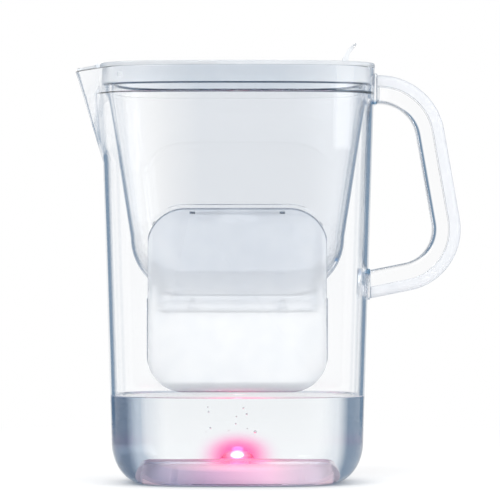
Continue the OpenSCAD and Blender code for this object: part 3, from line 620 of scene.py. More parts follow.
def shared(name):
    """The shared node group of a name, made at its first use."""
    makers = {"grain": grain_group, "wear": wear_group, "glow": glow_group}
    if name not in GROUPS:
        GROUPS[name] = makers[name]()
    return GROUPS[name]


def use(net, name, **values):
    node = net.add("ShaderNodeGroup", node_tree=shared(name))
    for label, value in values.items():
        net.feed(node.inputs[label.replace("_", " ").capitalize()], value)
    return node.outputs


def new_material(name):
    """A material with a plain shader, and the net to write it in."""
    material = bpy.data.materials.new(name)
    material.use_nodes = True
    material.node_tree.nodes.clear()
    net = Net(material.node_tree)
    net.shader = net.add("ShaderNodeBsdfPrincipled")
    net.output = net.add("ShaderNodeOutputMaterial", {"Surface": net.shader})
    return material, net, net.shader


def let_light_through(net, tint):
    """Lets lamps and bounced light through a clear plastic straight, tinted, without caustics.
    Close to the table it lets less through, so that the object keeps its contact shadow."""
    contact_shade, deepest = (0.32, 0.40, 0.50), 9.0
    path = net.add("ShaderNodeLightPath").outputs
    trapped = net.over(path["Ray Depth"], deepest)
    straight = net.most(path["Is Shadow Ray"], path["Is Diffuse Ray"], trapped)
    close = net.below(net.xyz()[2], 2 * MM, 18 * MM)
    clear = net.add("ShaderNodeBsdfTransparent", {"Color": net.blend(close, tint, contact_shade)})
    net.feed(net.output.inputs["Surface"], net.mix(straight, net.shader, clear))


def bump(net, relief, strength, distance):
    inputs = {"Height": relief, "Strength": strength, "Distance": distance}
    net.feed(net.shader.inputs["Normal"], net.add("ShaderNodeBump", inputs))


def mid_share(net, at_sides):
    """1 in the middle of the pitcher, and less towards its sides."""
    return net.scale(net.unsigned(net.xyz()[0]), 0.025, 0.070, 1.0, at_sides)


# ---- accents ------------------------------------------------------------------------------------
# An accent tints a material further at some places, mostly with painted shade, and on the raised
# floor with painted light. It returns the tint and what is matt.


def lit_floor(net, tint):
    """The raised floor over the light has the diode's light painted on it: lilac, deeper on its
    crown and pink round the lens; it is matt inside. The foot and the front of the ledge have a
    painted dark line of shade."""
    painted_crown_glow, painted_ledge_shade, painted_foot_shade = (0.50, 0.30, 0.48), (0.05, 0.12, 0.18), (0.22, 0.28, 0.38)
    look = bpy.context.scene.pitcher.finish
    form = JugForm(bpy.context.scene.pitcher.jug)
    j, top = form.s, form.plateau_z
    x, y, z = net.xyz()
    ends = net.below(net.unsigned(x), j.recess_w / 2 + j.floor_t - 0.5 * MM, 1.5 * MM)
    sides = net.below(net.unsigned(y), j.recess_d / 2 + j.floor_t - 0.5 * MM, 1.5 * MM)
    inside = net.times(ends, sides)
    floor = net.times(net.scale(z, top - 1.5 * MM, top - 0.2 * MM, 0.35, 1.0), inside)
    # Painted light: lilac, full on the top of the raised floor and a share on its sides.
    tint = net.blend(floor, tint, look.lilac, mode="MULTIPLY")
    # Painted glow, a deeper purple, on the raised floor's crown.
    crown = net.times(net.above(z, top - 1 * MM, 0.8 * MM, 0.8), inside)
    tint = net.blend(crown, tint, painted_crown_glow)
    # Painted pink glow that falls off with distance from the lens.
    falloff = use(net, "glow", reach=0.042, flatten=1.0, power=1.8)["Falloff"]
    tint = net.blend(net.times(falloff, inside), tint, look.painted_pink_glow)
    # Painted dark line of shade along the front of the ledge, away from the spout, and along the
    # foot.
    front = net.times(net.under(y, 0.0), net.above(x, -0.068, 0.016))
    off_ledge = net.unsigned(net.minus(z, form.ledge_z))
    ledge = net.times(net.below(off_ledge, 0.6 * MM, 0.4 * MM, 0.85), front)
    tint = net.blend(ledge, tint, painted_ledge_shade)
    tint = net.blend(net.below(z, 0.8 * MM, 1 * MM, 0.8), tint, painted_foot_shade)
    shine_through(net, top, x, z, inside)
    recess = net.times(net.below(z, j.recess_h + 0.2 * MM, 0.8 * MM, 0.55), inside)
    dome = net.below(net.length(X=x, Y=y), j.dome_r, 1.2 * MM, 0.45)
    return tint, net.most(recess, dome, net.times(crown, 0.7))


def shine_through(net, top, x, z, inside):
    """The light that the raised floor scatters, painted on as emission: a painted glow haze all
    over, and a painted image of the diode in the dome, a white spot in a red ring.
    """
    haze_far, haze_near = (0.24, 0.16, 0.16), (1.2, 0.16, 0.30)
    painted_diode_ring, painted_diode_spot = (0.95, 0.12, 0.14), (1.7, 1.70, 1.50)
    spot_half_w, spot_half_h, spot_z = 4.8 * MM, 2 * MM, top + 2.4 * MM
    near = use(net, "glow", reach=0.050, flatten=0.8, power=2.0)["Falloff"]
    low = net.times(inside, net.under(z, top + 0.5 * MM))
    # Painted glow haze on the raised floor's faces over the light.
    lit = net.blend(low, grey(0.0), net.blend(near, haze_far, haze_near))
    # Painted image of the diode on the dome: a red ring round a white spot.
    wide = net.math("DIVIDE", x, spot_half_w)
    tall = net.math("DIVIDE", net.minus(z, spot_z), spot_half_h)
    from_spot = net.length(X=wide, Y=tall)
    dome = net.over(z, top + 0.2 * MM)
    lit = net.blend(net.times(net.below(from_spot, 1.0, 0.9), dome), lit, painted_diode_ring)
    lit = net.blend(net.times(net.below(from_spot, 0.45, 0.45), dome), lit, painted_diode_spot)
    net.feed(net.shader.inputs["Emission Color"], lit)
    net.shader.inputs["Emission Strength"].default_value = 0.7


def basket_shade(net, tint):
    """The basket's plates get painted shade: greyer in the middle and upper part, for the funnel
    seen through them, and a painted dark outline along the top and the sides, fainter lower down."""
    behind, painted_edge_shade_tint = (0.76, 0.785, 0.82), (0.20, 0.25, 0.32)
    f = bpy.context.scene.pitcher.funnel
    x, _, z = net.xyz()
    # Painted grey shade, most in the middle and upper part of the plates.
    share = net.times(net.scale(z, 0.100, 0.128, 0.05, 1.0), mid_share(net, 0.6))
    tint = net.blend(share, tint, behind, mode="MULTIPLY")
    # Painted dark outline of shade along the plates' top and sides.
    past_x = net.most(net.minus(net.unsigned(x), f.basket_w / 2 - f.basket_r), 0.0)
    past_z = net.most(net.minus(z, f.basket_top_z - f.basket_r), 0.0)
    outline = net.above(net.length(X=past_x, Z=past_z), f.basket_r - 1.1 * MM, 0.6 * MM, 0.85)
    return net.blend(net.times(outline, net.scale(z, 0.065, 0.100, 0.3, 1.0)), tint, painted_edge_shade_tint), 0.0


def skirt_shade(net, tint):
    """The lid's skirt is thinner than the plate; below the rim it gets a painted grey shade, most
    in its middle, for the grey behind it.
    """
    low = net.below(net.xyz()[2], RIM_Z - 0.8 * MM, 1 * MM)
    share = net.times(low, mid_share(net, 0.1))
    return net.blend(share, tint, (0.82, 0.85, 0.88), mode="MULTIPLY"), 0.0


def tub_shade(net, tint):
    """The funnel has painted light on its spout side, and painted dark lines of shade where an edge
    gathers the dark of the room: along the flange, round the floor with a painted band of shade
    above it, at the collar's foot, the ribs and hooks."""
    painted_line_shade, painted_flange_shade = (0.12, 0.15, 0.20), (0.02, 0.07, 0.14)
    tub = TubForm(bpy.context.scene.pitcher)
    f, r = tub.f, tub.f.tub_round_w
    along, y, z = net.xyz()
    x, y = net.unsigned(along), net.unsigned(y)
    centre_z = f.tub_floor_z + r
    lean = f.tub_draft * (tub.form.ledge_z - centre_z)
    past = net.most(net.minus(x, tub.hx - lean - r), 0.0)
    sag = net.math("SQRT", net.most(net.minus(r * r, net.times(past, past)), 0.0))
    off_floor = net.math("ADD", net.minus(z, centre_z), sag)
    # Painted band and line of shade round the funnel's floor.
    band = net.below(off_floor, 14.3 * MM, 0.7 * MM, 0.45)
    edge = net.below(net.unsigned(off_floor), 0.6 * MM, 1 * MM)
    tub_only = net.over(z, f.tub_floor_z - 0.2 * MM)
    beside_basket = net.times(tub_only, net.scale(x, 0.050, 0.056, 1.0, 0.2))
    floor = net.times(net.most(band, edge), beside_basket)
    collar = net.below(z, tub.collar_z + 0.9 * MM, 0.6 * MM, 0.9)
    collar_y = tub.c.cart_d / 2 + tub.collar_grow
    rib = net.above(y, collar_y + 0.2 * MM, 0.3 * MM, 0.9)
    rib = net.times(rib, net.under(z, f.tub_floor_z - 0.1 * MM))
    hook_top, hook_foot = f.basket_top_z - 2 * MM, f.basket_top_z - 4 * MM
    hook = net.times(net.over(y, tub.recess_y - 0.1 * MM), net.over(z, hook_foot))
    hook = net.times(net.times(hook, net.under(z, hook_top)), net.under(x, f.hook_x + 2.1 * MM))
    # Painted light on the spout side, where a face is seen square on.
    square_on = net.scale(net.grazing(), 0.35, 0.65, 1.0, 0.0)
    painted_spout_side_light = net.times(net.scale(along, -0.050, -0.022, 0.85, 0.0), square_on)
    tint = net.blend(painted_spout_side_light, tint, grey(1.0))
    tint = net.blend(net.most(floor, collar, rib, hook), tint, painted_line_shade)
    # Painted dark line of shade along the top of the flange.
    flange = net.above(z, tub.flange_top_z - 1.2 * MM, 0.5 * MM)
    return net.blend(flange, tint, painted_flange_shade), 0.0


def core_shade(net, tint):
    """The handle's core has painted dark shade along its inner edge, on the side of the gap for the
    hand, where the edge gathers the dark of the room.
    """
    gap_middle, painted_edge_shade_tint = (0.095, 0.0, 0.180), (0.12, 0.16, 0.22)
    inward = net.add("ShaderNodeVectorMath", {0: gap_middle, 1: net.place()}, operation="SUBTRACT")
    inward = net.add("ShaderNodeVectorMath", {0: inward}, operation="NORMALIZE")
    normal = net.add("ShaderNodeNewGeometry").outputs["Normal"]
    sides = {0: inward, 1: normal}
    turned = net.add("ShaderNodeVectorMath", sides, operation="DOT_PRODUCT").outputs["Value"]
    return net.blend(net.above(turned, 0.45, 0.30, 0.9), tint, painted_edge_shade_tint), 0.0


def pad_shade(net, tint):
    """A root pad's edges are thick, and on the side of the gap for the hand they get a painted dark
    blue shade.
    """
    z = net.xyz()[2]
    share = net.times(net.below(z, 0.2300, 2 * MM), net.above(z, 0.1250, 2 * MM))
    return net.blend(share, tint, (0.08, 0.24, 0.46)), 0.0


# ---- materials ----------------------------------------------------------------------------------


def clear_plastic(name, face_on, edge, ior=1.46, edge_blend=0.25, accent=None, level_edge=1.0):
    """Glossy clear plastic with painted shade at its edges: its colour deepens to slate blue where
    the sight grazes it, and then to a deep blue that reaches further in towards +X, by a share of
    its own on level faces."""
    material, net, shader = new_material(name)
    tint = net.blend(net.math("POWER", net.grazing(edge_blend), 2.2), face_on, edge)
    x = net.xyz()[0]
    starts = net.scale(x, -0.03, 0.03, 0.85, 0.74)
    ends = net.scale(x, -0.03, 0.03, 0.96, 0.90)
    upright = net.scale(net.unsigned(net.upward()), 0.5, 0.9, 1.0, level_edge)
    # Painted deep blue edge shade, reaching further in towards +X.
    deep = net.times(net.scale(net.grazing(), starts, ends, 0.0, 1.0), upright)
    tint = net.blend(deep, tint, bpy.context.scene.pitcher.finish.painted_deep_edge_shade)
    matt = 0.0
    if accent:
        tint, matt = accent(net, tint)
    wear = use(net, "wear", scratches=0.3, dust=0.0)
    worn = net.scale(wear["Scratch"], 0.0, 1.0, 0.012, 0.10)
    net.feed(shader.inputs["Base Color"], tint)
    net.feed(shader.inputs["Roughness"], net.most(worn, matt))
    shader.inputs["IOR"].default_value = ior
    shader.inputs["Transmission Weight"].default_value = 1.0
    bump(net, use(net, "grain", grain_size=0.0006, flow_size=0.035)["Flow"], 0.10, 0.0006)
    let_light_through(net, [c**0.5 for c in face_on])
    return material


def frosted_plastic(name, face_on, edge, roughness, through=0.75, accent=None, grit=0.25):
    """Plastic with a blasted surface: light comes through it scattered. Its colour takes painted
    shade where the sight grazes it.
    """
    material, net, shader = new_material(name)
    grain = use(net, "grain", grain_size=0.00035, flow_size=0.02)
    wear = use(net, "wear", scratches=0.0, dust=0.10)
    # Painted shade: the colour darkens where the sight grazes the surface.
    tint = net.blend(net.math("POWER", net.grazing(0.25), 2.5), face_on, edge)
    dark = [0.55 * c for c in edge]
    tint = net.blend(net.above(net.grazing(), 0.55, 0.30, 0.8), tint, dark)
    if accent:
        tint = accent(net, tint)[0]
    mottled = net.blend(net.above(grain["Mottle"], 0.35, 0.30, 0.10), tint, edge, mode="MULTIPLY")
    net.feed(shader.inputs["Base Color"], net.blend(wear["Dust"], mottled, grey(0.9)))
    rough = net.scale(grain["Mottle"], 0.3, 0.7, roughness * 0.85, roughness * 1.15)
    net.feed(shader.inputs["Roughness"], rough)
    shader.inputs["IOR"].default_value = 1.42
    shader.inputs["Transmission Weight"].default_value = through
    bump(net, grain["Height"], grit, 0.00008)
    let_light_through(net, [0.95 * c for c in face_on])
    return material


def satin_plastic(name, face_on, roughness=0.42, lit=0.0):
    """Opaque moulded plastic with a fine grain. Close to the light it may have a painted pink glow,
    as emission.
    """
    material, net, shader = new_material(name)
    grain = use(net, "grain", grain_size=0.0003, flow_size=0.012)
    wear = use(net, "wear", scratches=0.12, dust=0.3)
    deep = [0.88 * c for c in face_on]
    mottled = net.blend(net.above(grain["Mottle"], 0.3, 0.4, 0.6), face_on, deep)
    worn = net.blend(net.times(wear["Scratch"], 0.4), mottled, grey(0.97))
    net.feed(shader.inputs["Base Color"], net.blend(wear["Dust"], worn, grey(0.82)))
    rough = net.scale(grain["Mottle"], 0.3, 0.7, roughness - 0.06, roughness + 0.08)
    net.feed(shader.inputs["Roughness"], net.minus(rough, wear["Scratch"]))
    bump(net, grain["Height"], 0.3, 0.00006)
    # Painted glow: pink emission that falls off with distance from the lens.
    if lit:
        falloff = use(net, "glow", reach=0.03, flatten=1.0, power=1.0)["Falloff"]
        glow = net.blend(falloff, (0.42, 0.24, 0.34), (1.0, 0.22, 0.52))
        net.feed(shader.inputs["Emission Color"], glow)
        shader.inputs["Emission Strength"].default_value = lit
    return material


def rubber(name, face_on):
    material, net, shader = new_material(name)
    grain = use(net, "grain", grain_size=0.00025, flow_size=0.006)
    wear = use(net, "wear", scratches=0.0, dust=0.5)
    pale = [c + 0.06 for c in face_on]
    mottled = net.blend(net.above(grain["Mottle"], 0.35, 0.35), face_on, pale)
    net.feed(shader.inputs["Base Color"], net.blend(wear["Dust"], mottled, grey(0.5)))
    net.feed(shader.inputs["Roughness"], net.scale(grain["Height"], 0.3, 0.7, 0.62, 0.78))
    bump(net, grain["Height"], 0.4, 0.00008)
    return material


def lens_plastic(name, pink):
    """Milky lens with the light behind it."""
    material, net, shader = new_material(name)
    falloff = use(net, "glow", reach=0.010, flatten=1.2, power=1.0)["Falloff"]
    hot = net.blend(falloff, (0.16, 0.04, 0.08), (1.0, 0.35, 0.50))
    grain = use(net, "grain", grain_size=0.0003, flow_size=0.004)
    net.feed(shader.inputs["Base Color"], net.blend(grain["Mottle"], grey(0.93), pink))
    shader.inputs["Roughness"].default_value = 0.3
    net.feed(shader.inputs["Emission Color"], hot)
    shader.inputs["Emission Strength"].default_value = 1.2
    bump(net, grain["Height"], 0.2, 0.00005)
    return material


def circuit_board(name):
    """Green board with printed tracks and a speckled glass fibre under the lacquer."""
    material, net, shader = new_material(name)
    tracks = net.add(
        "ShaderNodeTexVoronoi",
        {"Vector": net.place(), "Scale": 330.0},
        feature="DISTANCE_TO_EDGE",
        distance="MANHATTAN",
    )
    line = net.below(tracks.outputs["Distance"], 0.03, 0.02)
    grain = use(net, "grain", grain_size=0.0005, flow_size=0.003)
    lacquer = net.blend(grain["Mottle"], (0.02, 0.13, 0.06), (0.03, 0.20, 0.09))
    tracked = net.blend(net.times(line, 0.8), lacquer, (0.10, 0.36, 0.18))
    net.feed(shader.inputs["Base Color"], tracked)
    net.feed(shader.inputs["Roughness"], net.scale(grain["Height"], 0.3, 0.7, 0.28, 0.4))
    bump(net, line, 0.5, 0.00005)
    return material


def turned_metal(name, face_on):
    """Metal with fine rings round the jug's axis."""
    material, net, shader = new_material(name)
    wave = net.add(
        "ShaderNodeTexWave",
        {"Vector": net.place(), "Scale": 450.0, "Distortion": 1.5, "Detail": 2.0},
        wave_type="RINGS",
        rings_direction="Z",
    ).outputs["Fac"]
    grain = use(net, "grain", grain_size=0.0004, flow_size=0.004)
    dull = [0.8 * c for c in face_on]
    net.feed(shader.inputs["Base Color"], net.blend(grain["Mottle"], face_on, dull))
    net.feed(shader.inputs["Roughness"], net.scale(wave, 0.0, 1.0, 0.22, 0.38))
    shader.inputs["Metallic"].default_value = 1.0
    bump(net, wave, 0.2, 0.00003)
    return material


def granular(name, dark, pale, cell):
    """Loose granules: every cell has its own shade."""
    material, net, shader = new_material(name)
    cells = net.add("ShaderNodeTexVoronoi", {"Vector": net.place(), "Scale": 1 / cell})
    shade = net.add("ShaderNodeSeparateColor", {0: cells.outputs["Color"]}).outputs[0]
    net.feed(shader.inputs["Base Color"], net.blend(shade, dark, pale))
    net.feed(shader.inputs["Roughness"], net.scale(shade, 0.0, 1.0, 0.55, 0.85))
    bump(net, cells.outputs["Distance"], 0.9, cell * 0.5)
    return material


def water_material(name, tint):
    """Water with painted shade: darker where the sight grazes it, most towards the spout and all
    over at the spout's end, for the dark of the room that it gathers as a lens does, and a painted
    bluish shade on its surface."""
    painted_end_shade, painted_surface_shade = (0.34, 0.42, 0.53), (0.82, 0.87, 0.93)
    material, net, shader = new_material(name)
    x, _, z = net.xyz()
    # Painted shade where the sight grazes the water, most towards the spout.
    glancing = net.above(net.grazing(), 0.03, 0.04)
    bent = net.times(glancing, net.scale(x, -0.02, 0.02, 1.0, 0.35))
    share = net.most(bent, net.below(x, -0.066, 0.024))
    sides = net.blend(share, tint, painted_end_shade)
    # Painted bluish shade on the water's surface.
    surface = net.times(net.above(net.upward(), 0.7, 0.2), net.over(z, 0.045))
    net.feed(shader.inputs["Base Color"], net.blend(surface, sides, painted_surface_shade))
    shader.inputs["Roughness"].default_value = 0.0
    shader.inputs["IOR"].default_value = WATER_IOR
    shader.inputs["Transmission Weight"].default_value = 1.0
    bump(net, net.noise(45.0, 1.0), 0.05, 0.0008)
    let_light_through(net, (0.97, 0.985, 0.995))
    return material


def air_material(name):
    """Air in the water, whose surface bends light the other way."""
    material, net, shader = new_material(name)
    shader.inputs["Transmission Weight"].default_value = 1.0
    shader.inputs["IOR"].default_value = 1 / WATER_IOR
    shader.inputs["Roughness"].default_value = 0.0
    let_light_through(net, grey(1.0))
    return material


def glow_material(name, reach, strength, pink):
    """Light scattered in the water: a volume that glows less with distance from the lens, and
    takes the green out of what is behind it."""
    core_colour, core_strength, core_reach = (1.0, 0.25, 0.42), 350.0, 0.010
    material = bpy.data.materials.new(name)
    material.use_nodes = True
    material.node_tree.nodes.clear()
    net = Net(material.node_tree)
    falloff = use(net, "glow", reach=reach, flatten=1.7, power=3.0)["Falloff"]
    core = use(net, "glow", reach=core_reach, flatten=2.2, power=1.5)["Falloff"]
    dense = net.times(falloff, strength)
    thin = net.times(dense, net.minus(1.0, core, clamp=True))
    taken = net.add("ShaderNodeVolumeAbsorption", {"Color": (1.0, 0.0, 0.52), "Density": thin})
    bright = net.math("ADD", net.times(dense, 0.15), net.times(core, core_strength))
    lit = {"Color": net.blend(core, pink, core_colour), "Strength": bright}
    both = {0: taken, 1: net.add("ShaderNodeEmission", lit)}
    volume = net.add("ShaderNodeAddShader", both)
    net.add("ShaderNodeOutputMaterial", {"Volume": volume})
    return material


# ---- geometry node trees ------------------------------------------------------------------------


def geometry_tree(name, inputs):
    """A geometry node tree with named inputs of some kinds, and a material as the last. Returns
    its net, its inputs and its last socket."""
    tree = bpy.data.node_groups.new(name, "GeometryNodeTree")
    kinds = {"Geometry": "Geometry", **inputs, "Material": "Material"}
    for label, kind in kinds.items():
        tree.interface.new_socket(label, in_out="INPUT", socket_type="NodeSocket" + kind)
    tree.interface.new_socket("Geometry", in_out="OUTPUT", socket_type="NodeSocketGeometry")
    net = Net(tree)
    return net, net.add("NodeGroupInput").outputs, net.add("NodeGroupOutput").inputs[0]


def end_tree(net, given, last, geometry):
    """Makes instances real and gives them the tree's material."""
    real = net.add("GeometryNodeRealizeInstances", {"Geometry": geometry})
    dressed = net.add("GeometryNodeSetMaterial", {"Geometry": real, "Material": given["Material"]})
    net.feed(last, dressed)


def run_tree(piece, tree, values):
    """Puts a geometry node tree on a piece, with values for its inputs."""
    modifier = piece.modifiers.new(tree.name, "NODES")
    modifier.node_group = tree
    sockets = {s.name: s.identifier for s in tree.interface.items_tree if s.in_out == "INPUT"}
    for label, value in values.items():
        modifier[sockets[label]] = value


def grow(piece, tree, values):
    """Runs a geometry node tree on a piece and turns the result into a plain mesh."""
    run_tree(piece, tree, values)
    return bake(piece)


def handle_tree():
    """Sweeps a half section, flat on the seam and round outside, along the handle's seam. The
    seam comes in as a line of edges, with the radius of each bend on its points."""
    inputs = {
        "Thickness": "Float",
        "Width": "Float",
        "Edge round": "Float",
        "Side": "Float",
        "Root flare": "Float",
        "Flare reach": "Float",
        "Bend steps": "Int",
    }
    net, given, last = geometry_tree("Handle sweep", inputs)
    seam = net.add("GeometryNodeMeshToCurve", {"Mesh": given["Geometry"]})
    radius = net.add("GeometryNodeInputNamedAttribute", {"Name": "bend_radius"})
    bent = net.add(
        "GeometryNodeFilletCurve",
        {"Curve": seam, "Count": given["Bend steps"], "Radius": radius, "Limit Radius": True},
        mode="POLY",
    )
    path = net.add("GeometryNodeResampleCurve", {"Curve": bent, "Length": 1.5 * MM}, mode="LENGTH")
    along = net.add("GeometryNodeSplineParameter").outputs["Length"]
    whole = net.add("GeometryNodeSplineLength").outputs["Length"]
    to_root = net.math("MINIMUM", along, net.minus(whole, along))
    kept = net.add("GeometryNodeCaptureAttribute")
    kept.capture_items.new("FLOAT", "Root distance")
    net.feed(kept.inputs["Geometry"], path)
    net.feed(kept.inputs["Root distance"], to_root)
    section = net.add(
        "GeometryNodeCurvePrimitiveQuadrilateral",
        {"Width": given["Width"], "Height": given["Thickness"]},
    )
    at = net.add("GeometryNodeInputPosition")
    off = net.add("ShaderNodeSeparateXYZ", {0: at}).outputs[1]
    outside = net.over(net.times(off, given["Side"]), 0.0)
    round_r = net.most(net.times(outside, given["Edge round"]), 0.3 * MM)
    softened = net.add(
        "GeometryNodeFilletCurve",
        {"Curve": section, "Count": 7, "Radius": round_r, "Limit Radius": True},
        mode="POLY",
    )
    off_seam = net.math("ADD", net.times(given["Thickness"], 0.5), HAIR)
    shift = net.add("ShaderNodeCombineXYZ", {1: net.times(off_seam, given["Side"])})
    placed = net.add("GeometryNodeTransform", {"Geometry": softened, "Translation": shift})
    swept = net.add(
        "GeometryNodeCurveToMesh",
        {"Curve": kept.outputs["Geometry"], "Profile Curve": placed, "Fill Caps": True},
    )
    from_root = net.math("DIVIDE", kept.outputs["Root distance"], given["Flare reach"])
    near = net.minus(1.0, from_root, clamp=True)
    wider = net.times(net.math("POWER", near, 2.0), given["Root flare"])
    y = net.add("ShaderNodeSeparateXYZ", {0: at}).outputs[1]
    offset = net.add("ShaderNodeCombineXYZ", {1: net.times(y, wider)})
    flared = net.add("GeometryNodeSetPosition", {"Geometry": swept, "Offset": offset})
    end_tree(net, given, last, flared)
    return net.tree


def slot_row_tree():
    """A row of upright blocks that cuts slots, centred on the axis."""
    inputs = {"Count": "Int", "Pitch": "Float", "Slot": "Vector", "Centre": "Vector"}
    net, given, last = geometry_tree("Slot row", inputs)
    whole = net.times(net.minus(given["Count"], 1.0), given["Pitch"])
    first = net.add("ShaderNodeCombineXYZ", {0: net.times(whole, -0.5)})
    start = net.add("ShaderNodeVectorMath", {0: first, 1: given["Centre"]}, operation="ADD")
    step = net.add("ShaderNodeCombineXYZ", {0: given["Pitch"]})
    row = net.add(
        "GeometryNodeMeshLine",
        {"Count": given["Count"], "Start Location": start, "Offset": step},
    )
    cube = net.add("GeometryNodeMeshCube", {"Size": given["Slot"]})
    slots = net.add("GeometryNodeInstanceOnPoints", {"Points": row, "Instance": cube})
    end_tree(net, given, last, slots)
    return net.tree


def granule_tree():
    """Strews granules of random size and turn over the faces of a bed."""
    inputs = {"Density": "Float", "Radius": "Float", "Seed": "Int"}
    net, given, last = geometry_tree("Strewn granules", inputs)
    points = net.add(
        "GeometryNodeDistributePointsOnFaces",
        {"Mesh": given["Geometry"], "Density": given["Density"], "Seed": given["Seed"]},
    )
    granule = net.add("GeometryNodeMeshIcoSphere", {"Radius": given["Radius"], "Subdivisions": 1})
    turn = net.add(
        "FunctionNodeRandomValue",
        {"Min": (0, 0, 0), "Max": (6.28, 6.28, 6.28), "Seed": 3},
        data_type="FLOAT_VECTOR",
    )
    stretch = net.add(
        "FunctionNodeRandomValue",
        {"Min": (0.5, 0.5, 0.4), "Max": (1.0, 1.0, 0.9), "Seed": 5},
        data_type="FLOAT_VECTOR",
    )
    strewn = net.add(
        "GeometryNodeInstanceOnPoints",
        {"Points": points, "Instance": granule, "Rotation": turn, "Scale": stretch},
    )
    end_tree(net, given, last, strewn)
    return net.tree


def weave_tree():
    """Wires woven over and under each other, within a rectangle with round corners."""
    inputs = {
        "Half width": "Float",
        "Half depth": "Float",
        "Corner": "Float",
        "Pitch": "Float",
        "Wire radius": "Float",
        "Height": "Float",
    }
    net, given, last = geometry_tree("Woven wires", inputs)
    wire = net.add(
        "GeometryNodeCurvePrimitiveCircle", {"Resolution": 4, "Radius": given["Wire radius"]}
    )
    sets = []
    for along, across, sign in (("Half width", "Half depth", 1), ("Half depth", "Half width", -1)):
        rows = net.math("DIVIDE", net.times(given[across], 1.9), given["Pitch"])
        rows = net.math("FLOOR", rows)
        points = net.math("DIVIDE", net.times(given[along], 4.0), given["Pitch"])
        points = net.math("FLOOR", points)
        grid = {"Size X": 2.0, "Size Y": 1.0, "Vertices X": points, "Vertices Y": rows}
        line = net.add("GeometryNodeMeshGrid", grid)
        at = net.add("ShaderNodeSeparateXYZ", {0: net.add("GeometryNodeInputPosition")})
        side = net.times(at.outputs[1], net.times(net.minus(rows, 1.0), given["Pitch"]))
        past = net.minus(net.unsigned(side), net.minus(given[across], given["Corner"]))
        past = net.most(past, 0.0)
        square = net.minus(net.math("POWER", given["Corner"], 2.0), net.math("POWER", past, 2.0))
        bow = net.math("SQRT", net.most(square, 0.0))
        reach = net.math("ADD", net.minus(given[along], given["Corner"]), bow)
        run = net.times(at.outputs[0], reach)
        beat = net.math("DIVIDE", math.pi, given["Pitch"])
        along_wave = net.math("COSINE", net.times(run, beat))
        wave = net.times(along_wave, net.math("COSINE", net.times(side, beat)))
        lift = net.times(net.times(wave, given["Wire radius"]), 1.1 * sign)
        lift = net.math("ADD", lift, given["Height"])
        order = {0: run, 1: side, 2: lift} if sign > 0 else {0: side, 1: run, 2: lift}
        place = net.add("ShaderNodeCombineXYZ", order)
        waved = net.add("GeometryNodeSetPosition", {"Geometry": line, "Position": place})
        edge = net.add("GeometryNodeInputMeshEdgeVertices").outputs
        ends = [net.add("ShaderNodeSeparateXYZ", {0: edge[k]}).outputs for k in (2, 3)]
        axis = 1 if sign > 0 else 0
        apart = net.unsigned(net.minus(ends[0][axis], ends[1][axis]))
        along_wire = net.under(apart, net.times(given["Pitch"], 0.5))
        kept = net.add("GeometryNodeMeshToCurve", {"Mesh": waved, "Selection": along_wire})
        sets.append(
            net.add(
                "GeometryNodeCurveToMesh",
                {"Curve": kept, "Profile Curve": wire, "Fill Caps": True},
            )
        )
    both = net.add("GeometryNodeJoinGeometry")
    for wires in sets:
        net.feed(both.inputs[0], wires)
    end_tree(net, given, last, both)
    return net.tree


def bubble_tree():
    """Small air bubbles at random places in a box, larger ones rarer."""
    inputs = {"Count": "Int", "Radius": "Float", "Low": "Vector", "High": "Vector", "Seed": "Int"}
    net, given, last = geometry_tree("Air bubbles", inputs)
    row = net.add("GeometryNodePoints", {"Count": given["Count"]})
    place = net.add(
        "FunctionNodeRandomValue",
        {"Min": given["Low"], "Max": given["High"], "Seed": given["Seed"]},
        data_type="FLOAT_VECTOR",
    )
    strewn = net.add("GeometryNodeSetPosition", {"Geometry": row, "Position": place})
    chance = net.add("FunctionNodeRandomValue", {2: 0.0, 3: 1.0, "Seed": 11}, data_type="FLOAT")
    scale = net.math("ADD", net.math("POWER", chance.outputs[1], 3.0), 0.22)
    ball = net.add("GeometryNodeMeshIcoSphere", {"Radius": given["Radius"], "Subdivisions": 3})
    balls = net.add(
        "GeometryNodeInstanceOnPoints",
        {"Points": strewn, "Instance": ball, "Scale": scale},
    )
    end_tree(net, given, last, balls)
    return net.tree


def soft_edge_tree():
    """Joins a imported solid's loose triangles and shades it smooth up to an angle."""
    net, given, last = geometry_tree("Smooth solid", {"Angle": "Float"})
    bare = net.add(
        "GeometryNodeRemoveAttribute", {"Geometry": given["Geometry"], "Name": "custom_normal"}
    )
    joined = net.add("GeometryNodeMergeByDistance", {"Geometry": bare, "Distance": 0.01 * MM})
    flat = net.add("GeometryNodeSetShadeSmooth", {"Geometry": joined, "Shade Smooth": True})
    bend = net.add("GeometryNodeInputMeshEdgeAngle")
    sharp = net.over(bend, given["Angle"])
    shaded = net.add(
        "GeometryNodeSetShadeSmooth",
        {"Geometry": flat, "Selection": sharp, "Shade Smooth": False},
        domain="EDGE",
    )
    end_tree(net, given, last, shaded)
    return net.tree


def dress_node(name, material, degrees=30):
    """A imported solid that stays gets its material, joined faces and smooth shading."""
    piece = NODES[name]
    piece.data.materials.clear()
    piece.data.materials.append(material)
    tree = bpy.data.node_groups.get("Smooth solid") or soft_edge_tree()
    run_tree(piece, tree, {"Angle": math.radians(degrees), "Material": material})
    return piece


# ---- the jug's form -----------------------------------------------------------------------------


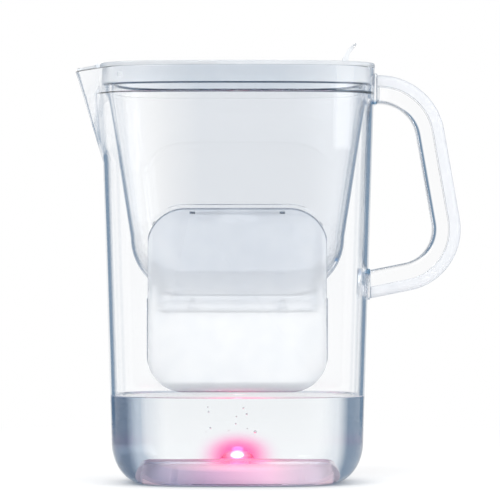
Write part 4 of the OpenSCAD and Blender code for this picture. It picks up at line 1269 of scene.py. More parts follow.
class JugForm:
    """The jug's wall as a rule: its half sizes at a height, its spout and its foot."""

    SHOULDER = 3 * MM  # rounding of the raised floor's edge
    RECESS_POWER = 5
    MOAT_RISE = 0.4 * MM
    DOME_WALL = 2.4 * MM

    def __init__(self, s):
        self.s = s
        self.ledge_z = s.rim_z - s.ledge_drop
        self.spout_foot_z = s.rim_z - s.spout_h
        self.plateau_z = s.recess_h + s.floor_t

    def hx(self, z):
        return (self.s.foot_w + (self.s.rim_w - self.s.foot_w) * z / self.s.rim_z) / 2

    def hy(self, z):
        return (self.s.foot_d + (self.s.rim_d - self.s.foot_d) * z / self.s.rim_z) / 2

    def oval(self, hx, hy, z):
        return oval(hx, hy, z, self.s.squareness)

    def pull(self, y, inset):
        """How far the spout is drawn out at y, as a share, with a round fold at its tip."""
        half, fold = self.s.spout_span / 2 - inset, self.s.spout_fold
        y = abs(y) if abs(y) > 2 * fold else fold + y * y / (4 * fold)
        return ((half - y) / (half - fold)) ** self.s.spout_curve if y < half else 0

    def wall_ring(self, inset, z, dip=0):
        """A ring of the wall. The spout is thin below the ledge too, so no ledge shows in it."""
        rise = max(0, min(1, (z - self.spout_foot_z) / self.s.spout_h))
        lost = max(0, inset - self.s.rim_wall) * min(1, 2 * rise) * 0.95
        ring = []
        for x, y, _ in self.oval(self.hx(z) - inset, self.hy(z) - inset, z):
            pull = self.pull(y, inset) if x < 0 else 0
            reach = self.s.spout_reach * rise * pull + lost * min(1, 3 * pull)
            ring.append((x - reach, y, z - dip * pull))
        return ring

    def foot_ring(self, inset, bottom, turn):
        s = self.s
        z = bottom + (s.foot_round_h - bottom) * (1 - math.cos(turn))
        draw_w = s.foot_round_w - (s.foot_round_w - inset) * math.sin(turn)
        draw_d = s.foot_round_d - (s.foot_round_d - inset) * math.sin(turn)
        return self.oval(self.hx(z) - draw_w, self.hy(z) - draw_d, z)

    def recess_ring(self, draw, z):
        s = self.s
        return oval(s.recess_w / 2 - draw, s.recess_d / 2 - draw, z, self.RECESS_POWER)

    def shoulder_rings(self, inset, top, steps=8):
        rings = []
        for turn in turns(0, 90, steps):
            draw = inset + self.SHOULDER * (1 - math.cos(turn))
            rings.append(self.recess_ring(draw, top - self.SHOULDER * (1 - math.sin(turn))))
        return rings

    def dome_rings(self, r, foot, h, steps=12):
        return [
            oval(r * math.cos(turn), r * math.cos(turn), foot + h * math.sin(turn), 2)
            for turn in turns(0, 88, steps)
        ]

    def inside_rings(self, grow, top_rings):
        """Rings down the inside of the wall and over the raised floor, grown into the plastic."""
        s = self.s
        return [
            *top_rings,
            *[self.foot_ring(s.wall - grow, s.floor_t - grow, t) for t in turns(90, 0, 14)],
            self.recess_ring(-s.floor_t + grow, s.floor_t + self.MOAT_RISE - grow),
            *self.shoulder_rings(grow, self.plateau_z - grow),
            *self.dome_rings(s.dome_r - grow, self.plateau_z - grow, s.dome_h),
        ]


def jug_shell(form):
    s = form.s
    cavity_h = form.plateau_z + s.dome_h - form.DOME_WALL - s.recess_h
    underside = form.shoulder_rings(s.floor_t, s.recess_h)[::-1]
    dome = form.dome_rings(s.dome_r - form.DOME_WALL, s.recess_h, cavity_h)[::-1]
    edge = s.rim_wall / 2
    rim = []
    for turn in turns(0, 180, 8):
        inset = edge * (1 - math.cos(turn))
        rim.append(form.wall_ring(inset, s.rim_z - edge * (1 - math.sin(turn)), s.spout_dip))
    foot_break = 0.6 * MM
    rings = [
        *dome,
        *underside,
        form.recess_ring(0, foot_break),
        form.recess_ring(-foot_break, 0),
        form.foot_ring(foot_break, 0, 0),
        *[form.foot_ring(0, 0, turn) for turn in turns(4, 90, 16)],
        *[form.wall_ring(0, s.foot_round_h + d) for d in WALL_STEPS],
        form.wall_ring(0, form.spout_foot_z - 4 * MM),
        form.wall_ring(0, form.spout_foot_z),
        *[form.wall_ring(0, form.spout_foot_z + s.spout_h * share) for share in SPOUT_STEPS],
        *rim,
        form.wall_ring(s.rim_wall, form.ledge_z + 0.3 * MM),
        form.wall_ring(s.rim_wall + 0.3 * MM, form.ledge_z),
        form.wall_ring(s.wall - 0.3 * MM, form.ledge_z),
        form.wall_ring(s.wall, form.ledge_z - 0.3 * MM),
        *[
            form.wall_ring(s.wall, form.spout_foot_z + s.spout_h * share)
            for share in SPOUT_STEPS[::-1]
            if s.spout_h * share < form.ledge_z - form.spout_foot_z - 2 * MM
        ],
        form.wall_ring(s.wall, form.spout_foot_z),
    ]
    down = [form.wall_ring(s.wall, s.foot_round_h + d) for d in WALL_STEPS[::-1]]
    return smooth(loft("jug_shell", form.inside_rings(0, rings + down)), 35)


def root_pad(name, form, handle, z0, z1):
    """A pad that follows the wall inside, flat outside, which a handle root seats on."""
    lap, pad_round = 1 * MM, 3 * MM
    half = handle.grip_w * (1 + handle.root_flare) / 2 + lap
    mid, tall = (z0 + z1) / 2, (z1 - z0) / 2 + lap
    upper = mid > form.s.rim_z / 2
    face_x = form.hx(z1 if upper else z0) + handle.pad_proud
    power = form.s.squareness
    edge_round = ((0, 0), (0.6, 0), (0.85, 0.12 * MM), (1, 0.45 * MM))
    rings = []
    for share, draw in edge_round:
        ring = []
        for y, z in rounded(half - draw, tall - draw, pad_round - draw):
            z += mid
            wall_x = form.hx(z) * (1 - (abs(y) / form.hy(z)) ** power) ** (1 / power) + HAIR
            ring.append((wall_x + (face_x - wall_x) * share, y, z))
        rings.append(ring)
    return smooth(loft(name, rings), 35)


def seam_line(form, handle, at_x):
    """The handle's seam as a line of edges, with the radius of each bend on its points."""
    top, low = handle.seam_top, handle.seam_low
    end_z = low[1] - handle.leg_slope * (low[0] - at_x)
    root_x = form.hx(top[1]) + handle.pad_proud + HAIR
    points = [(root_x, 0, top[1]), (top[0], 0, top[1]), (low[0], 0, low[1]), (at_x, 0, end_z)]
    mesh = bpy.data.meshes.new("handle_seam")
    mesh.from_pydata(points, [(0, 1), (1, 2), (2, 3)], [])
    radius = mesh.attributes.new("bend_radius", "FLOAT", "POINT")
    radius.data.foreach_set("value", [0, handle.bend_top_r, handle.bend_low_r, 0])
    return mesh


# ---- operators ----------------------------------------------------------------------------------


class PITCHER_OT_jug(bpy.types.Operator):
    """Builds the clear jug and the two pads that carry its handle"""

    bl_idname = "pitcher.jug"
    bl_label = "Jug"

    def execute(self, context):
        s = context.scene.pitcher
        form, look = JugForm(s.jug), s.finish
        shell = clear_plastic("Clear jug plastic", look.clear, look.clear_painted_edge_shade, accent=lit_floor)
        finish_piece(jug_shell(form), shell, "jug", "clear_jug", "jug_body")
        h, seam_top_z, seam_low_z = s.handle, s.handle.seam_top[1], 0.1187
        spans = {
            "root_pad_top": (seam_top_z - h.core_t, seam_top_z + h.grip_t),
            "root_pad_low": (seam_low_z - h.grip_t, seam_low_z + h.core_t),
        }
        pad = clear_plastic("Clear pad plastic", look.clear, look.clear_painted_edge_shade, accent=pad_shade)
        for name, (z0, z1) in spans.items():
            finish_piece(root_pad(name, form, h, z0, z1), pad, "jug", "clear_jug")
        return {"FINISHED"}


class PITCHER_OT_handle(bpy.types.Operator):
    """Sweeps the handle's clear core and its frosted grip along their seam"""

    bl_idname = "pitcher.handle"
    bl_label = "Handle"

    def execute(self, context):
        s = context.scene.pitcher
        form, h, look = JugForm(s.jug), s.handle, s.finish
        core = clear_plastic(
            "Clear core plastic", look.clear, look.clear_painted_edge_shade, edge_blend=0.3, accent=core_shade
        )
        grip = frosted_plastic(
            "Frosted grip plastic", look.grip, look.frosted_painted_edge_and_mottle, 0.45, 0.6, grit=0.10
        )
        tree = handle_tree()
        end_x = form.hx(h.seam_low[1]) + h.pad_proud + HAIR
        trim_low, trim_high = 0.09, 0.15
        parts = (
            ("handle_core_bar", "handle_core", 1, h.core_t, h.core_w, h.core_round, core),
            ("handle_grip_shell", "handle_grip", -1, h.grip_t, h.grip_w, h.grip_round, grip),
        )
        for name, node, side, thick, wide, edge, material in parts:
            piece = bpy.data.objects.new(name, seam_line(form, h, end_x - 5 * MM))
            bpy.context.scene.collection.objects.link(piece)
            values = {
                "Thickness": thick,
                "Width": wide,
                "Edge round": edge,
                "Side": float(side),
                "Root flare": h.root_flare,
                "Flare reach": h.flare_reach,
                "Bend steps": h.bend_steps,
                "Material": material,
            }
            grow(piece, tree, values)
            side_y = 2 * h.grip_w
            cut(piece, block("pad_face", (0, -side_y, trim_low), (end_x, side_y, trim_high)))
            smooth(piece, 35)
            slot = "clear_handle" if node == "handle_core" else "frosted_grip"
            finish_piece(piece, material, "jug", slot, node)
        return {"FINISHED"}


class TubForm:
    """The funnel's tub, its collar and the basket's plates as rules."""

    def __init__(self, s):
        f, form = s.funnel, JugForm(s.jug)
        self.f, self.c, self.form = f, s.cartridge, form
        self.hx = form.hx(form.ledge_z) - s.jug.wall - f.tub_gap
        self.hy = form.hy(form.ledge_z) - s.jug.wall - f.tub_gap
        self.flange_hx = form.hx(form.ledge_z) - s.jug.rim_wall - f.flange_gap
        self.flange_hy = form.hy(form.ledge_z) - s.jug.rim_wall - f.flange_gap
        self.flange_top_z = form.ledge_z + f.flange_h
        self.inner_y = f.basket_d / 2 - f.basket_wall
        self.recess_y = self.inner_y - SEAT
        self.mid_z = (f.basket_bottom_z + f.basket_top_z) / 2
        self.half_h = (f.basket_top_z - f.basket_bottom_z) / 2
        self.bore_grow = self.c.cart_flange + self.c.bore_gap
        self.collar_grow = self.bore_grow + f.tub_wall
        self.collar_z = f.tub_floor_z - f.collar_h
        self.step_z = self.collar_z + f.step_t
        self.hook_z = f.basket_top_z - 2.6 * MM

    def bottom_ring(self, inset, turn):
        f = self.f
        rw, rd = f.tub_round_w - inset, f.tub_round_d - inset
        centre_z = f.tub_floor_z + f.tub_round_w
        lean = f.tub_draft * (self.form.ledge_z - centre_z)
        hx = self.hx - lean - f.tub_round_w + rw * math.sin(turn)
        hy = self.hy - lean - f.tub_round_d + rd * math.sin(turn)
        return self.form.oval(hx, hy, centre_z - rw * math.cos(turn))

    def side_rings(self, inset):
        """Rings up the drafted side, with one close to each end to keep the shading straight."""
        f, ledge_z = self.f, self.form.ledge_z
        rings = []
        for z in (f.tub_floor_z + f.tub_round_w + EPS / 2, ledge_z - EPS / 2, ledge_z):
            lean = f.tub_draft * (ledge_z - z)
            rings.append(self.form.oval(self.hx - lean - inset, self.hy - lean - inset, z))
        return rings

    def plates(self, grow, y, name):
        """The two spaces at front and back that the basket's plates lie in."""
        outline = [
            (x, z + self.mid_z)
            for x, z in rounded(
                self.f.basket_w / 2 + SEAT + grow,
                self.half_h + SEAT + grow,
                self.f.basket_r + SEAT + grow,
            )
        ]
        far = 2 * self.form.s.rim_d
        return prism(name, outline, "Y", y, far), prism(name, outline, "Y", -far, -y)

    def cartridge_slab(self, grow, z0, z1, name):
        c = self.c
        outline = rounded(c.cart_w / 2 + grow, c.cart_d / 2 + grow, c.cart_r + grow)
        return prism(name, outline, "Z", z0, z1)


def collar_rib(tub, x, side):
    """An A-shaped rib on the collar, with its foot on the collar's lower edge."""
    wide, bar, proud, cross = 8 * MM, 1.4 * MM, 1.2 * MM, 0.3
    h = tub.f.collar_h - EPS
    lean = (wide - bar) / 2 / h
    cross_z = h * cross
    half = wide / 2 - bar - cross_z * lean
    face = tub.c.cart_d / 2 + tub.collar_grow
    z0 = tub.collar_z

    def plate(name, outline, near, far):
        outline = [(x + px, z0 + pz) for px, pz in outline]
        low, high = sorted((side * near, side * far))
        return prism(name, outline, "Y", low, high)

    whole = [(-wide / 2, 0), (wide / 2, 0), (bar / 2, h), (-bar / 2, h)]
    lower = [
        (-wide / 2 + bar, -EPS),
        (wide / 2 - bar, -EPS),
        (half, cross_z - bar / 2),
        (-half, cross_z - bar / 2),
    ]
    upper = [(-half, cross_z + bar / 2), (half, cross_z + bar / 2), (0, cross_z + half / lean)]
    rib = plate("rib", whole, face - EPS, face + proud)
    return cut(rib, *[plate("cutter", o, face - 2 * EPS, face + 2 * proud) for o in (lower, upper)])


def funnel_tub(tub):
    f, form = tub.f, tub.form
    corner = turns(0, 90, 16)
    outer = loft(
        "funnel_tub",
        [
            *[tub.bottom_ring(0, turn) for turn in corner],
            *tub.side_rings(0),
            form.oval(tub.flange_hx, tub.flange_hy, form.ledge_z),
            form.oval(tub.flange_hx, tub.flange_hy, tub.flange_top_z),
        ],
    )
    cut(outer, *tub.plates(0, tub.recess_y, "recess"))
    top_z = f.tub_floor_z + f.collar_rise
    add(outer, tub.cartridge_slab(tub.collar_grow, tub.collar_z, top_z, "collar"))
    hook_half, hook_h = 1.3 * MM, 0.45 * MM
    for side in (-1, 1):
        for x in (-f.hook_x, f.hook_x):
            near, far = tub.recess_y - EPS, f.basket_d / 2 - 0.4 * MM
            low, high = sorted((side * near, side * far))
            hook = block(
                "hook",
                (x - hook_half, low, tub.hook_z - hook_h),
                (x + hook_half, high, tub.hook_z + hook_h),
            )
            add(outer, hook, collar_rib(tub, x, side))
    wall = f.tub_wall
    inner = loft(
        "tub_space",
        [
            *[tub.bottom_ring(wall, turn) for turn in corner],
            *tub.side_rings(wall),
            form.oval(tub.hx - wall, tub.hy - wall, form.ledge_z + EPS / 2),
            form.oval(tub.hx - wall, tub.hy - wall, tub.flange_top_z + EPS),
        ],
    )
    cut(inner, *tub.plates(wall, tub.recess_y - wall, "recess"))
    cut(
        outer,
        inner,
        tub.cartridge_slab(tub.bore_grow, tub.step_z, top_z + EPS, "bore"),
        tub.cartridge_slab(2 * SEAT, tub.collar_z - EPS, tub.step_z + EPS, "bore"),
    )
    return smooth(outer, 32)


class PITCHER_OT_funnel(bpy.types.Operator):
    """Builds the clear funnel with its collar, ribs and hooks"""

    bl_idname = "pitcher.funnel"
    bl_label = "Funnel"

    def execute(self, context):
        s = context.scene.pitcher
        look = s.finish
        material = clear_plastic(
            "Clear funnel plastic",
            look.tub,
            look.clear_painted_edge_shade,
            ior=1.4,
            accent=tub_shade,
            level_edge=0.3,
        )
        finish_piece(funnel_tub(TubForm(s)), material, "funnel", "clear_funnel", "hopper")
        return {"FINISHED"}


def basket_form(tub, inset, top, name):
    """A box that from all three sides is a rectangle with round corners, cut off at a height."""
    f = tub.f
    hx, hy = f.basket_w / 2, f.basket_d / 2
    front = [
        (x, z + tub.mid_z)
        for x, z in rounded(hx - inset, tub.half_h - inset, f.basket_r - inset, 24)
    ]
    low, high = f.basket_bottom_z + inset, f.basket_top_z + 2 * f.basket_edge_r
    side = [
        (y, z + (high + low) / 2)
        for y, z in rounded(hy - inset, (high - low) / 2, f.basket_edge_r - inset, 12)
    ]
    plan_r = 4 * MM
    plan = rounded(hx - inset, hy - inset, plan_r - inset, 8)
    body = prism(name, front, "Y", -hy - EPS, hy + EPS)
    combine(body, prism("side", side, "X", -2 * hx, 2 * hx), "INTERSECT")
    return combine(body, prism("plan", plan, "Z", f.basket_bottom_z - EPS, top), "INTERSECT")


def basket(tub):
    f = tub.f
    body = basket_form(tub, 0, f.basket_top_z + EPS, "basket")
    cut(body, basket_form(tub, f.basket_wall, f.basket_side_z + EPS, "basket_space"))
    window_half, window_h = 1.6 * MM, 0.75 * MM
    upper = block(
        "upper",
        (-f.basket_w, -tub.inner_y, f.basket_side_z),
        (f.basket_w, tub.inner_y, RIM_Z),
    )
    slots = grow(
        solid("drain", [], []),
        slot_row_tree(),
        {
            "Count": f.drain_slots,
            "Pitch": f.drain_pitch,
            "Slot": (f.drain_w, tub.c.cart_d - 2 * f.drain_w, 4 * f.basket_wall),
            "Centre": (0.0, 0.0, f.basket_bottom_z + f.basket_wall / 2),
            "Material": None,
        },
    )
    cut(body, upper, slots)
    for x in (-f.hook_x, f.hook_x):
        window = block(
            "window",
            (x - window_half, -f.basket_d, tub.hook_z - window_h),
            (x + window_half, f.basket_d, tub.hook_z + window_h),
        )
        cut(body, window)
    return smooth(soften(body, 0.35 * MM), 32)


class PITCHER_OT_basket(bpy.types.Operator):
    """Builds the frosted basket that carries the cartridge"""

    bl_idname = "pitcher.basket"
    bl_label = "Basket"

    def execute(self, context):
        s = context.scene.pitcher
        look = s.finish
        material = frosted_plastic(
            "Frosted basket plastic", look.basket, look.frosted_painted_edge_and_mottle, 0.22, 0.62, basket_shade
        )
        piece = basket(TubForm(s))
        finish_piece(piece, material, "funnel", "frosted_basket", "cartridge_sleeve")
        return {"FINISHED"}


class PITCHER_OT_cartridge(bpy.types.Operator):
    """Dresses the cartridge and fills it with granules between two woven meshes"""

    bl_idname = "pitcher.cartridge"
    bl_label = "Cartridge"

    def execute(self, context):
        s = context.scene.pitcher
        c = s.cartridge
        satin = satin_plastic("Cartridge plastic", s.finish.satin)
        seal = rubber("Seal rubber", (0.84, 0.86, 0.88))
        carbon = granular("Activated carbon", (0.012, 0.012, 0.014), (0.05, 0.05, 0.055), 0.0012)
        mineral = granular("Mineral granules", (0.62, 0.58, 0.50), (0.86, 0.83, 0.76), 0.0014)
        weave = satin_plastic("Woven mesh", (0.86, 0.87, 0.88), 0.5)
        dress_node("cartridge_shell", satin)
        dress_node("cartridge_cap", satin)
        dress_node("cartridge_seal", seal)
        dress_node("carbon_bed", carbon)
        dress_node("mineral_bed", mineral)
        tree = weave_tree()
        for node, name in (("outlet_mesh", "outlet_weave"), ("inlet_mesh", "inlet_weave")):
            low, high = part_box(node)
            piece = solid(name, [], [])
            values = {
                "Half width": high.x,
                "Half depth": high.y,
                "Corner": c.cart_r - c.cart_wall,
                "Pitch": c.wire_pitch,
                "Wire radius": c.wire_r,
                "Height": (low.z + high.z) / 2,
                "Material": weave,
            }
            smooth(grow(piece, tree, values), 50)
            finish_piece(piece, weave, "cartridge", "mesh", node)
        beds = (
            ("carbon_bed", "carbon_granules", carbon, "carbon", 1),
            ("mineral_bed", "mineral_granules", mineral, "mineral", 2),
        )
        for node, name, material, slot, seed in beds:
            low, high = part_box(node)
            outline = rounded(high.x - c.granule, high.y - c.granule, c.cart_r - c.cart_wall)
            level = high.z - c.granule / 2
            top = solid(name, [(x, y, level) for x, y in outline], [range(len(outline))])
            values = {
                "Density": c.granules_per_cm2 * 1e4,
                "Radius": c.granule,
                "Seed": seed,
                "Material": material,
            }
            smooth(grow(top, granule_tree(), values), 10)
            finish_piece(top, material, "cartridge", slot)
        return {"FINISHED"}


def shifted(outline, x):
    return [(px + x, py) for px, py in outline]


def fill_hinge(s):
    """The top of the lid's plate, and the height and radius of the fill flap's knuckle."""
    wall, proud = 1.2 * MM, 1.5 * MM
    top_z = s.jug.rim_z + s.lid.lid_t
    knuckle_r = s.lid.pin_r + wall
    return top_z, top_z + proud - knuckle_r, knuckle_r


def lid_plate(s, tub):
    """The lid: plate, skirt, hinge lugs, fill opening and the pins' bores."""
    j, lid, form = s.jug, s.lid, tub.form
    top_z, hinge_z, knuckle_r = fill_hinge(s)
    hx, hy = j.rim_w / 2, j.rim_d / 2
    edge = [
        form.oval(
            hx - lid.lid_break * (1 - math.cos(t)),
            hy - lid.lid_break * (1 - math.cos(t)),
            top_z - lid.lid_break * (1 - math.sin(t)),
        )
        for t in turns(0, 90, 5)
    ]
    body = loft("lid_plate", [form.oval(hx, hy, j.rim_z), *edge])
    skirt_z = tub.flange_top_z
    skirt_hx = form.hx(skirt_z) - j.rim_wall - lid.skirt_gap
    skirt_hy = form.hy(skirt_z) - j.rim_wall - lid.skirt_gap
    low_z = skirt_z + SEAT
    wall = lid.skirt_wall
    skirt = loft(
        "skirt",
        [
            form.oval(skirt_hx - 0.4 * MM, skirt_hy - 0.4 * MM, low_z),
            form.oval(skirt_hx, skirt_hy, low_z + 0.4 * MM),
            form.oval(skirt_hx, skirt_hy, j.rim_z + EPS),
        ],
    )
    space = loft(
        "space",
        [
            form.oval(skirt_hx - wall, skirt_hy - wall, low_z - EPS),
            form.oval(skirt_hx - wall, skirt_hy - wall, j.rim_z),
        ],
    )
    add(body, cut(skirt, space))
    spout_r = lid.spout_pin_r + 0.9 * MM
    spout_x, spout_z = -(hx + 1.3 * MM), j.rim_z + 1 * MM
    lug, spout_lug, spout_half = 5 * MM, 2.2 * MM, 7.6 * MM
    inner = lid.knuckle_half + SEAT
    for side in (-1, 1):
        low, high = sorted((side * inner, side * (inner + lug)))
        add(body, bar_y("lug", lid.hinge_x, hinge_z, knuckle_r, low, high))
        low, high = sorted((side * (spout_half + SEAT), side * (spout_half + SEAT + spout_lug)))
        add(
            body,
            bar_y("lug", spout_x, spout_z, spout_r, low, high),
            block("arm", (spout_x, low, j.rim_z), (-hx + 2 * EPS, high, spout_z)),
        )
    fill_x1 = lid.hinge_x - lid.hinge_back
    fill_mid = fill_x1 - lid.fill_l / 2

    def opening(grow):
        return shifted(
            rounded(lid.fill_l / 2 + grow, lid.fill_w / 2 + grow, lid.fill_r + grow), fill_mid
        )

    over = top_z + 2 * EPS
    cut(
        body,
        prism("opening", opening(0), "Z", low_z, over),
        prism("rebate", opening(lid.rebate), "Z", top_z - lid.flap_t, over),
        block(
            "room",
            (fill_x1, -lid.knuckle_half, j.rim_z - EPS),
            (lid.hinge_x + knuckle_r + 3.2 * MM, lid.knuckle_half, over),
        ),
        bar_y("relief", spout_x, spout_z, spout_r + SEAT, -spout_half - SEAT, spout_half + SEAT),
        bar_y("bore", spout_x, spout_z, lid.spout_pin_r + 0.02 * MM, -hy / 2, hy / 2),
        bar_y("bore", lid.hinge_x, hinge_z, lid.pin_r + 0.02 * MM, -inner - lug, inner + lug),
    )
    catch_x0, catch_x1, catch_low, catch_high = -0.071, -0.068, 6 * MM, 3.6 * MM
    for side in (-1, 1):
        low, high = sorted((side * hy / 2, side * 2 * hy))
        catch = block(
            "catch", (catch_x0, low, j.rim_z - catch_low), (catch_x1, high, j.rim_z - catch_high)
        )
        cut(body, catch)
    return smooth(soften(body, 0.3 * MM), 32)


def thumb_tab(lid, hinge_z, top_z):
    """The tab's outline in X and Z: a leaf that bows towards the handle."""
    tip_r = 0.6 * MM
    half_foot, taper = 2.1, 1.5  # half the tab's thickness at its foot, and its loss, in mm
    foot = Vector((lid.hinge_x - 1 * MM, hinge_z + 0.6 * MM))
    bow = Vector((lid.hinge_x - 0.6 * MM, hinge_z + lid.tab_h * 0.62))
    end = Vector((lid.hinge_x + 5.6 * MM, top_z + lid.tab_h - tip_r))

    def middle(u):
        return foot * (1 - u) ** 2 + bow * 2 * u * (1 - u) + end * u**2

    def side(u, sign):
        along = middle(min(1, u + 0.02)) - middle(u - 0.02)
        across = Vector((-along.y, along.x)).normalized()
        return middle(u) + across * (half_foot - taper * u) * MM * sign

    steps = 20
    front = [side(i / steps, 1) for i in range(steps + 1)]
    tip = middle(1)
    start = math.atan2(front[-1].y - tip.y, front[-1].x - tip.x)
    cap = [
        tip + Vector((math.cos(start - t), math.sin(start - t))) * tip_r
        for t in turns(22, 158, 6)
    ]
    return front + cap + [side(i / steps, -1) for i in range(steps, -1, -1)]


def fill_flap(s):
    j, lid = s.jug, s.lid
    top_z, hinge_z, knuckle_r = fill_hinge(s)
    fill_x1 = lid.hinge_x - lid.hinge_back
    grow_by = lid.rebate - SEAT
    outline = rounded(lid.fill_l / 2 + grow_by, lid.fill_w / 2 + grow_by, lid.fill_r + grow_by)
    half = lid.knuckle_half - SEAT
    leaf = shifted(outline, fill_x1 - lid.fill_l / 2)
    body = prism("fill_flap_leaf", leaf, "Z", top_z - lid.flap_t, top_z)
    tab = prism("tab", thumb_tab(lid, hinge_z, top_z)[::-1], "Y", -lid.tab_w / 2, lid.tab_w / 2)
    rim = rounded(lid.tab_w / 2, lid.tab_h + top_z - hinge_z, lid.tab_w * 0.3)
    mask = prism("mask", [(y, z + hinge_z) for y, z in rim], "X", 0, 2 * lid.hinge_x)
    combine(tab, mask, "INTERSECT")
    add(
        body,
        block("arm", (fill_x1, -half, top_z - lid.flap_t), (lid.hinge_x, half, top_z)),
        bar_y("knuckle", lid.hinge_x, hinge_z, knuckle_r, -half, half),
        tab,
    )
    cut(body, bar_y("bore", lid.hinge_x, hinge_z, lid.pin_r + 0.05 * MM, -j.rim_d, j.rim_d))
    return smooth(soften(body, 0.25 * MM), 32)


class PITCHER_OT_lid(bpy.types.Operator):
    """Builds the lid and its fill flap, and dresses the pins and the spout flap"""

    bl_idname = "pitcher.lid"
    bl_label = "Lid"

    def execute(self, context):
        s = context.scene.pitcher
        look = s.finish
        frosted = frosted_plastic(
            "Frosted lid plastic", look.frosted, look.frosted_painted_edge_and_mottle, 0.335, 0.75, skirt_shade
        )
        flap = frosted_plastic("Frosted flap plastic", look.frosted, look.frosted_painted_edge_and_mottle, 0.35)
        pin = satin_plastic("Pin plastic", (0.80, 0.84, 0.88), 0.3)
        finish_piece(lid_plate(s, TubForm(s)), frosted, "lid", "frosted_lid", "lid_frame")
        finish_piece(fill_flap(s), flap, "fill_flap", "frosted_flap", "fill_flap")
        dress_node("spout_flap", flap)
        dress_node("fill_hinge_pin", pin)
        dress_node("spout_hinge_pin", pin)
        return {"FINISHED"}


class PITCHER_OT_light(bpy.types.Operator):
    """Dresses the light: housing, lens, diode, board, cell, spring, gasket and cover"""

    bl_idname = "pitcher.light"
    bl_label = "Light"

    def execute(self, context):
        s = context.scene.pitcher
        look = s.finish
        # The housing gets a painted glow near the light.
        housing = satin_plastic("Light housing plastic", look.light_plastic, lit=0.8)
        dress_node("light_housing", housing)
        dress_node("light_cover", housing)
        dress_node("light_lens", lens_plastic("Milky lens", look.pink))
        dress_node("light_led", lens_plastic("Diode", look.pink))
        dress_node("light_board", circuit_board("Circuit board"))
        dress_node("cell_holder", satin_plastic("Holder plastic", (0.86, 0.86, 0.88)))
        dress_node("coin_cell", turned_metal("Cell steel", (0.78, 0.79, 0.81)))
        dress_node("cell_spring", turned_metal("Spring brass", (0.82, 0.70, 0.40)))
        dress_node("cover_gasket", rubber("Gasket rubber", (0.10, 0.10, 0.11)))
        return {"FINISHED"}


class PITCHER_OT_water(bpy.types.Operator):
    """Pours the water in, with its bubbles and the light's glow"""

    bl_idname = "pitcher.water"
    bl_label = "Water"

    def execute(self, context):
        s = context.scene.pitcher
        w, j, form = s.water, s.jug, JugForm(s.jug)
        climb_w, foot_z = 3 * MM, 0.03
        bubbles_low, bubbles_high = (-0.020, -0.030, 0.030), (0.016, 0.010, 0.048)
        climb = []
        for share in (0.0, 0.25, 0.5, 0.75, 1.0):
            inset = j.wall - LAP + climb_w * (1 - share)
            climb.append(form.wall_ring(inset, w.level + w.meniscus * share**3))
        down = [form.wall_ring(j.wall - LAP, z) for z in (w.level - 1 * MM, foot_z)]
        body = smooth(loft("water", form.inside_rings(LAP, climb + down)[::-1]), 40)
        body.data.materials.append(water_material("Water", s.finish.water))
        air = air_material("Air in the water")
        bubbles = grow(
            solid("bubbles", [], []),
            bubble_tree(),
            {
                "Count": w.bubbles,
                "Radius": w.bubble_r,
                "Low": bubbles_low,
                "High": bubbles_high,
                "Seed": 4,
                "Material": air,
            },
        )
        smooth(bubbles, 60)
        ball = []
        for turn in turns(-88, 88, 24):
            r = w.glow_r * math.cos(turn)
            ball.append(oval(r, r, LENS_Z + w.glow_r * math.sin(turn), 2, 48))
        glow = loft("glow", ball)
        shine = glow_material("Glow in the water", w.glow_r, w.glow, s.finish.pink)
        glow.data.materials.append(shine)
        return {"FINISHED"}


# ---- studio -------------------------------------------------------------------------------------


def studio_world(strip):
    """White to the camera. For light and gloss, white panels with slate strips between them."""
    world = bpy.data.worlds.new("Studio")
    world.use_nodes = True
    world.node_tree.nodes.clear()
    net = Net(world.node_tree)
    way = net.add("ShaderNodeTexCoord").outputs["Generated"]
    parts = net.add("ShaderNodeSeparateXYZ", {0: way}).outputs
    turn = net.math("ARCTAN2", parts[1], parts[0])
    beat = net.math("COSINE", net.times(turn, 4.0))
    panel = net.above(beat, 0.10, 0.40)
    overhead = net.above(parts[2], 0.35, 0.25)
    behind = net.blend(net.most(panel, overhead), strip, grey(1.0))
    near = net.above(parts[1], -0.95, 0.25)
    room = net.blend(near, grey(0.58), grey(1.0))
    beside = net.times(net.above(parts[1], 0.66, 0.08), net.below(parts[1], 0.90, 0.05))
    mirrored = net.blend(beside, room, strip)
    path = net.add("ShaderNodeLightPath").outputs
    lit = net.blend(net.over(path["Glossy Depth"], 0.5), behind, mirrored)
    plain = net.most(path["Is Camera Ray"], path["Is Diffuse Ray"])
    seen = net.blend(plain, lit, grey(1.0))
    back = net.add("ShaderNodeBackground", {"Color": seen, "Strength": 1.0})
    net.add("ShaderNodeOutputWorld", {"Surface": back})
    return world


def floor_material():
    """Pale floor that reads white where no shadow lies, and keeps the object's shadow."""
    material, net, shader = new_material("Studio floor")
    pale = net.blend(net.above(net.noise(30.0, 2.0), 0.3, 0.4), grey(0.80), grey(0.815))
    net.feed(shader.inputs["Base Color"], pale)
    shader.inputs["Roughness"].default_value = 0.9
    shader.inputs["Specular IOR Level"].default_value = 0.0
    path = net.add("ShaderNodeLightPath").outputs
    bent = net.most(path["Is Glossy Ray"], path["Is Transmission Ray"])
    seen = net.most(path["Is Camera Ray"], bent)
    lift = net.add("ShaderNodeEmission", {"Color": grey(1.0), "Strength": 0.12})
    raised = net.add("ShaderNodeAddShader", {0: shader, 1: lift})
    white = net.add("ShaderNodeEmission", {"Color": grey(1.0), "Strength": 1.0})
    gone = net.add("ShaderNodeBsdfTransparent", {"Color": grey(1.0)})
    from_middle = net.add("ShaderNodeVectorMath", {0: net.place()}, operation="LENGTH")
    far = net.above(from_middle.outputs["Value"], 0.25, 0.35)
    faded = net.mix(far, net.mix(bent, raised, shader), net.mix(bent, white, gone))
    net.feed(net.output.inputs["Surface"], net.mix(seen, shader, faded))
    return material


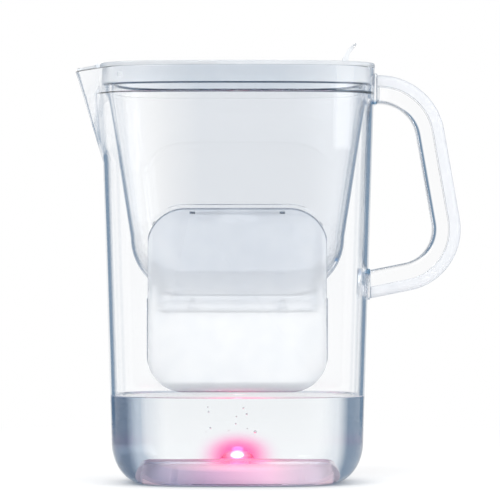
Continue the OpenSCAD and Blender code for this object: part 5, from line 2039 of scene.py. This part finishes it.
def area_light(name, place, aim, wide, tall, power):
    data = bpy.data.lights.new(name, "AREA")
    data.shape = "RECTANGLE"
    data.size, data.size_y = wide, tall
    data.energy = power
    lamp = bpy.data.objects.new(name, data)
    lamp.location = place
    lamp.rotation_mode = "QUATERNION"
    lamp.rotation_quaternion = (Vector(aim) - Vector(place)).to_track_quat("-Z", "Y")
    bpy.context.scene.collection.objects.link(lamp)
    return lamp


class PITCHER_OT_stage(bpy.types.Operator):
    """Sets the camera, the light, the floor and how deep light is followed"""

    bl_idname = "pitcher.stage"
    bl_label = "Studio"

    def execute(self, context):
        s = context.scene.pitcher
        st = s.stage
        scene = bpy.context.scene
        scene.world = studio_world(st.strip)
        data = bpy.data.cameras.new("Camera")
        data.sensor_width = 36.0
        data.lens = st.lens
        data.clip_start, data.clip_end = 0.1, 100.0
        camera = bpy.data.objects.new("Camera", data)
        camera.location = (st.eye_x, -st.distance, st.eye_z)
        camera.rotation_euler = (math.pi / 2, 0, 0)
        scene.collection.objects.link(camera)
        scene.camera = camera
        ring = [
            (st.floor_r * math.cos(a), st.floor_r * math.sin(a), -0.0002)
            for a in turns(0, 352.5, 47)
        ]
        floor = solid("floor", ring, [range(len(ring))])
        floor.data.materials.append(floor_material())
        middle = (0, 0, 0.12)
        area_light("key", (-0.7, -0.9, 1.1), middle, 0.7, 0.9, 6.0)
        area_light("fill", (0.9, -0.5, 0.6), middle, 0.6, 0.9, 3.0)
        scene.view_settings.view_transform = "Standard"
        scene.cycles.max_bounces = 32
        scene.cycles.transmission_bounces = 28
        scene.cycles.transparent_max_bounces = 32
        scene.cycles.glossy_bounces = 8
        scene.cycles.caustics_reflective = False
        return {"FINISHED"}


class VIEW3D_PT_pitcher(bpy.types.Panel):
    """Lists the pitcher's makers and their sizes"""

    bl_label = "Pitcher"
    bl_space_type = "VIEW_3D"
    bl_region_type = "UI"
    bl_category = "Pitcher"

    def draw(self, context):
        layout = self.layout
        for maker in MAKERS:
            layout.operator(maker.bl_idname)
        for part in ("jug", "handle", "funnel", "cartridge", "lid", "water", "finish", "stage"):
            settings = getattr(context.scene.pitcher, part)
            column = layout.box().column()
            column.label(text=part.capitalize())
            for name in settings.__annotations__:
                column.prop(settings, name)


MAKERS = (
    PITCHER_OT_jug,
    PITCHER_OT_handle,
    PITCHER_OT_funnel,
    PITCHER_OT_basket,
    PITCHER_OT_cartridge,
    PITCHER_OT_lid,
    PITCHER_OT_light,
    PITCHER_OT_water,
    PITCHER_OT_stage,
)
CLASSES = (
    JugSettings,
    HandleSettings,
    FunnelSettings,
    CartridgeSettings,
    LidSettings,
    WaterSettings,
    FinishSettings,
    StageSettings,
    PitcherSettings,
    *MAKERS,
    VIEW3D_PT_pitcher,
)


def register():
    for cls in CLASSES:
        bpy.utils.register_class(cls)
    bpy.types.Scene.pitcher = bpy.props.PointerProperty(type=PitcherSettings)


def unregister():
    del bpy.types.Scene.pitcher
    for cls in reversed(CLASSES):
        bpy.utils.unregister_class(cls)


def main():
    register()
    for maker in MAKERS:
        group_name, operator_name = maker.bl_idname.split(".")
        getattr(getattr(bpy.ops, group_name), operator_name)()


if __name__ == "__main__":
    main()
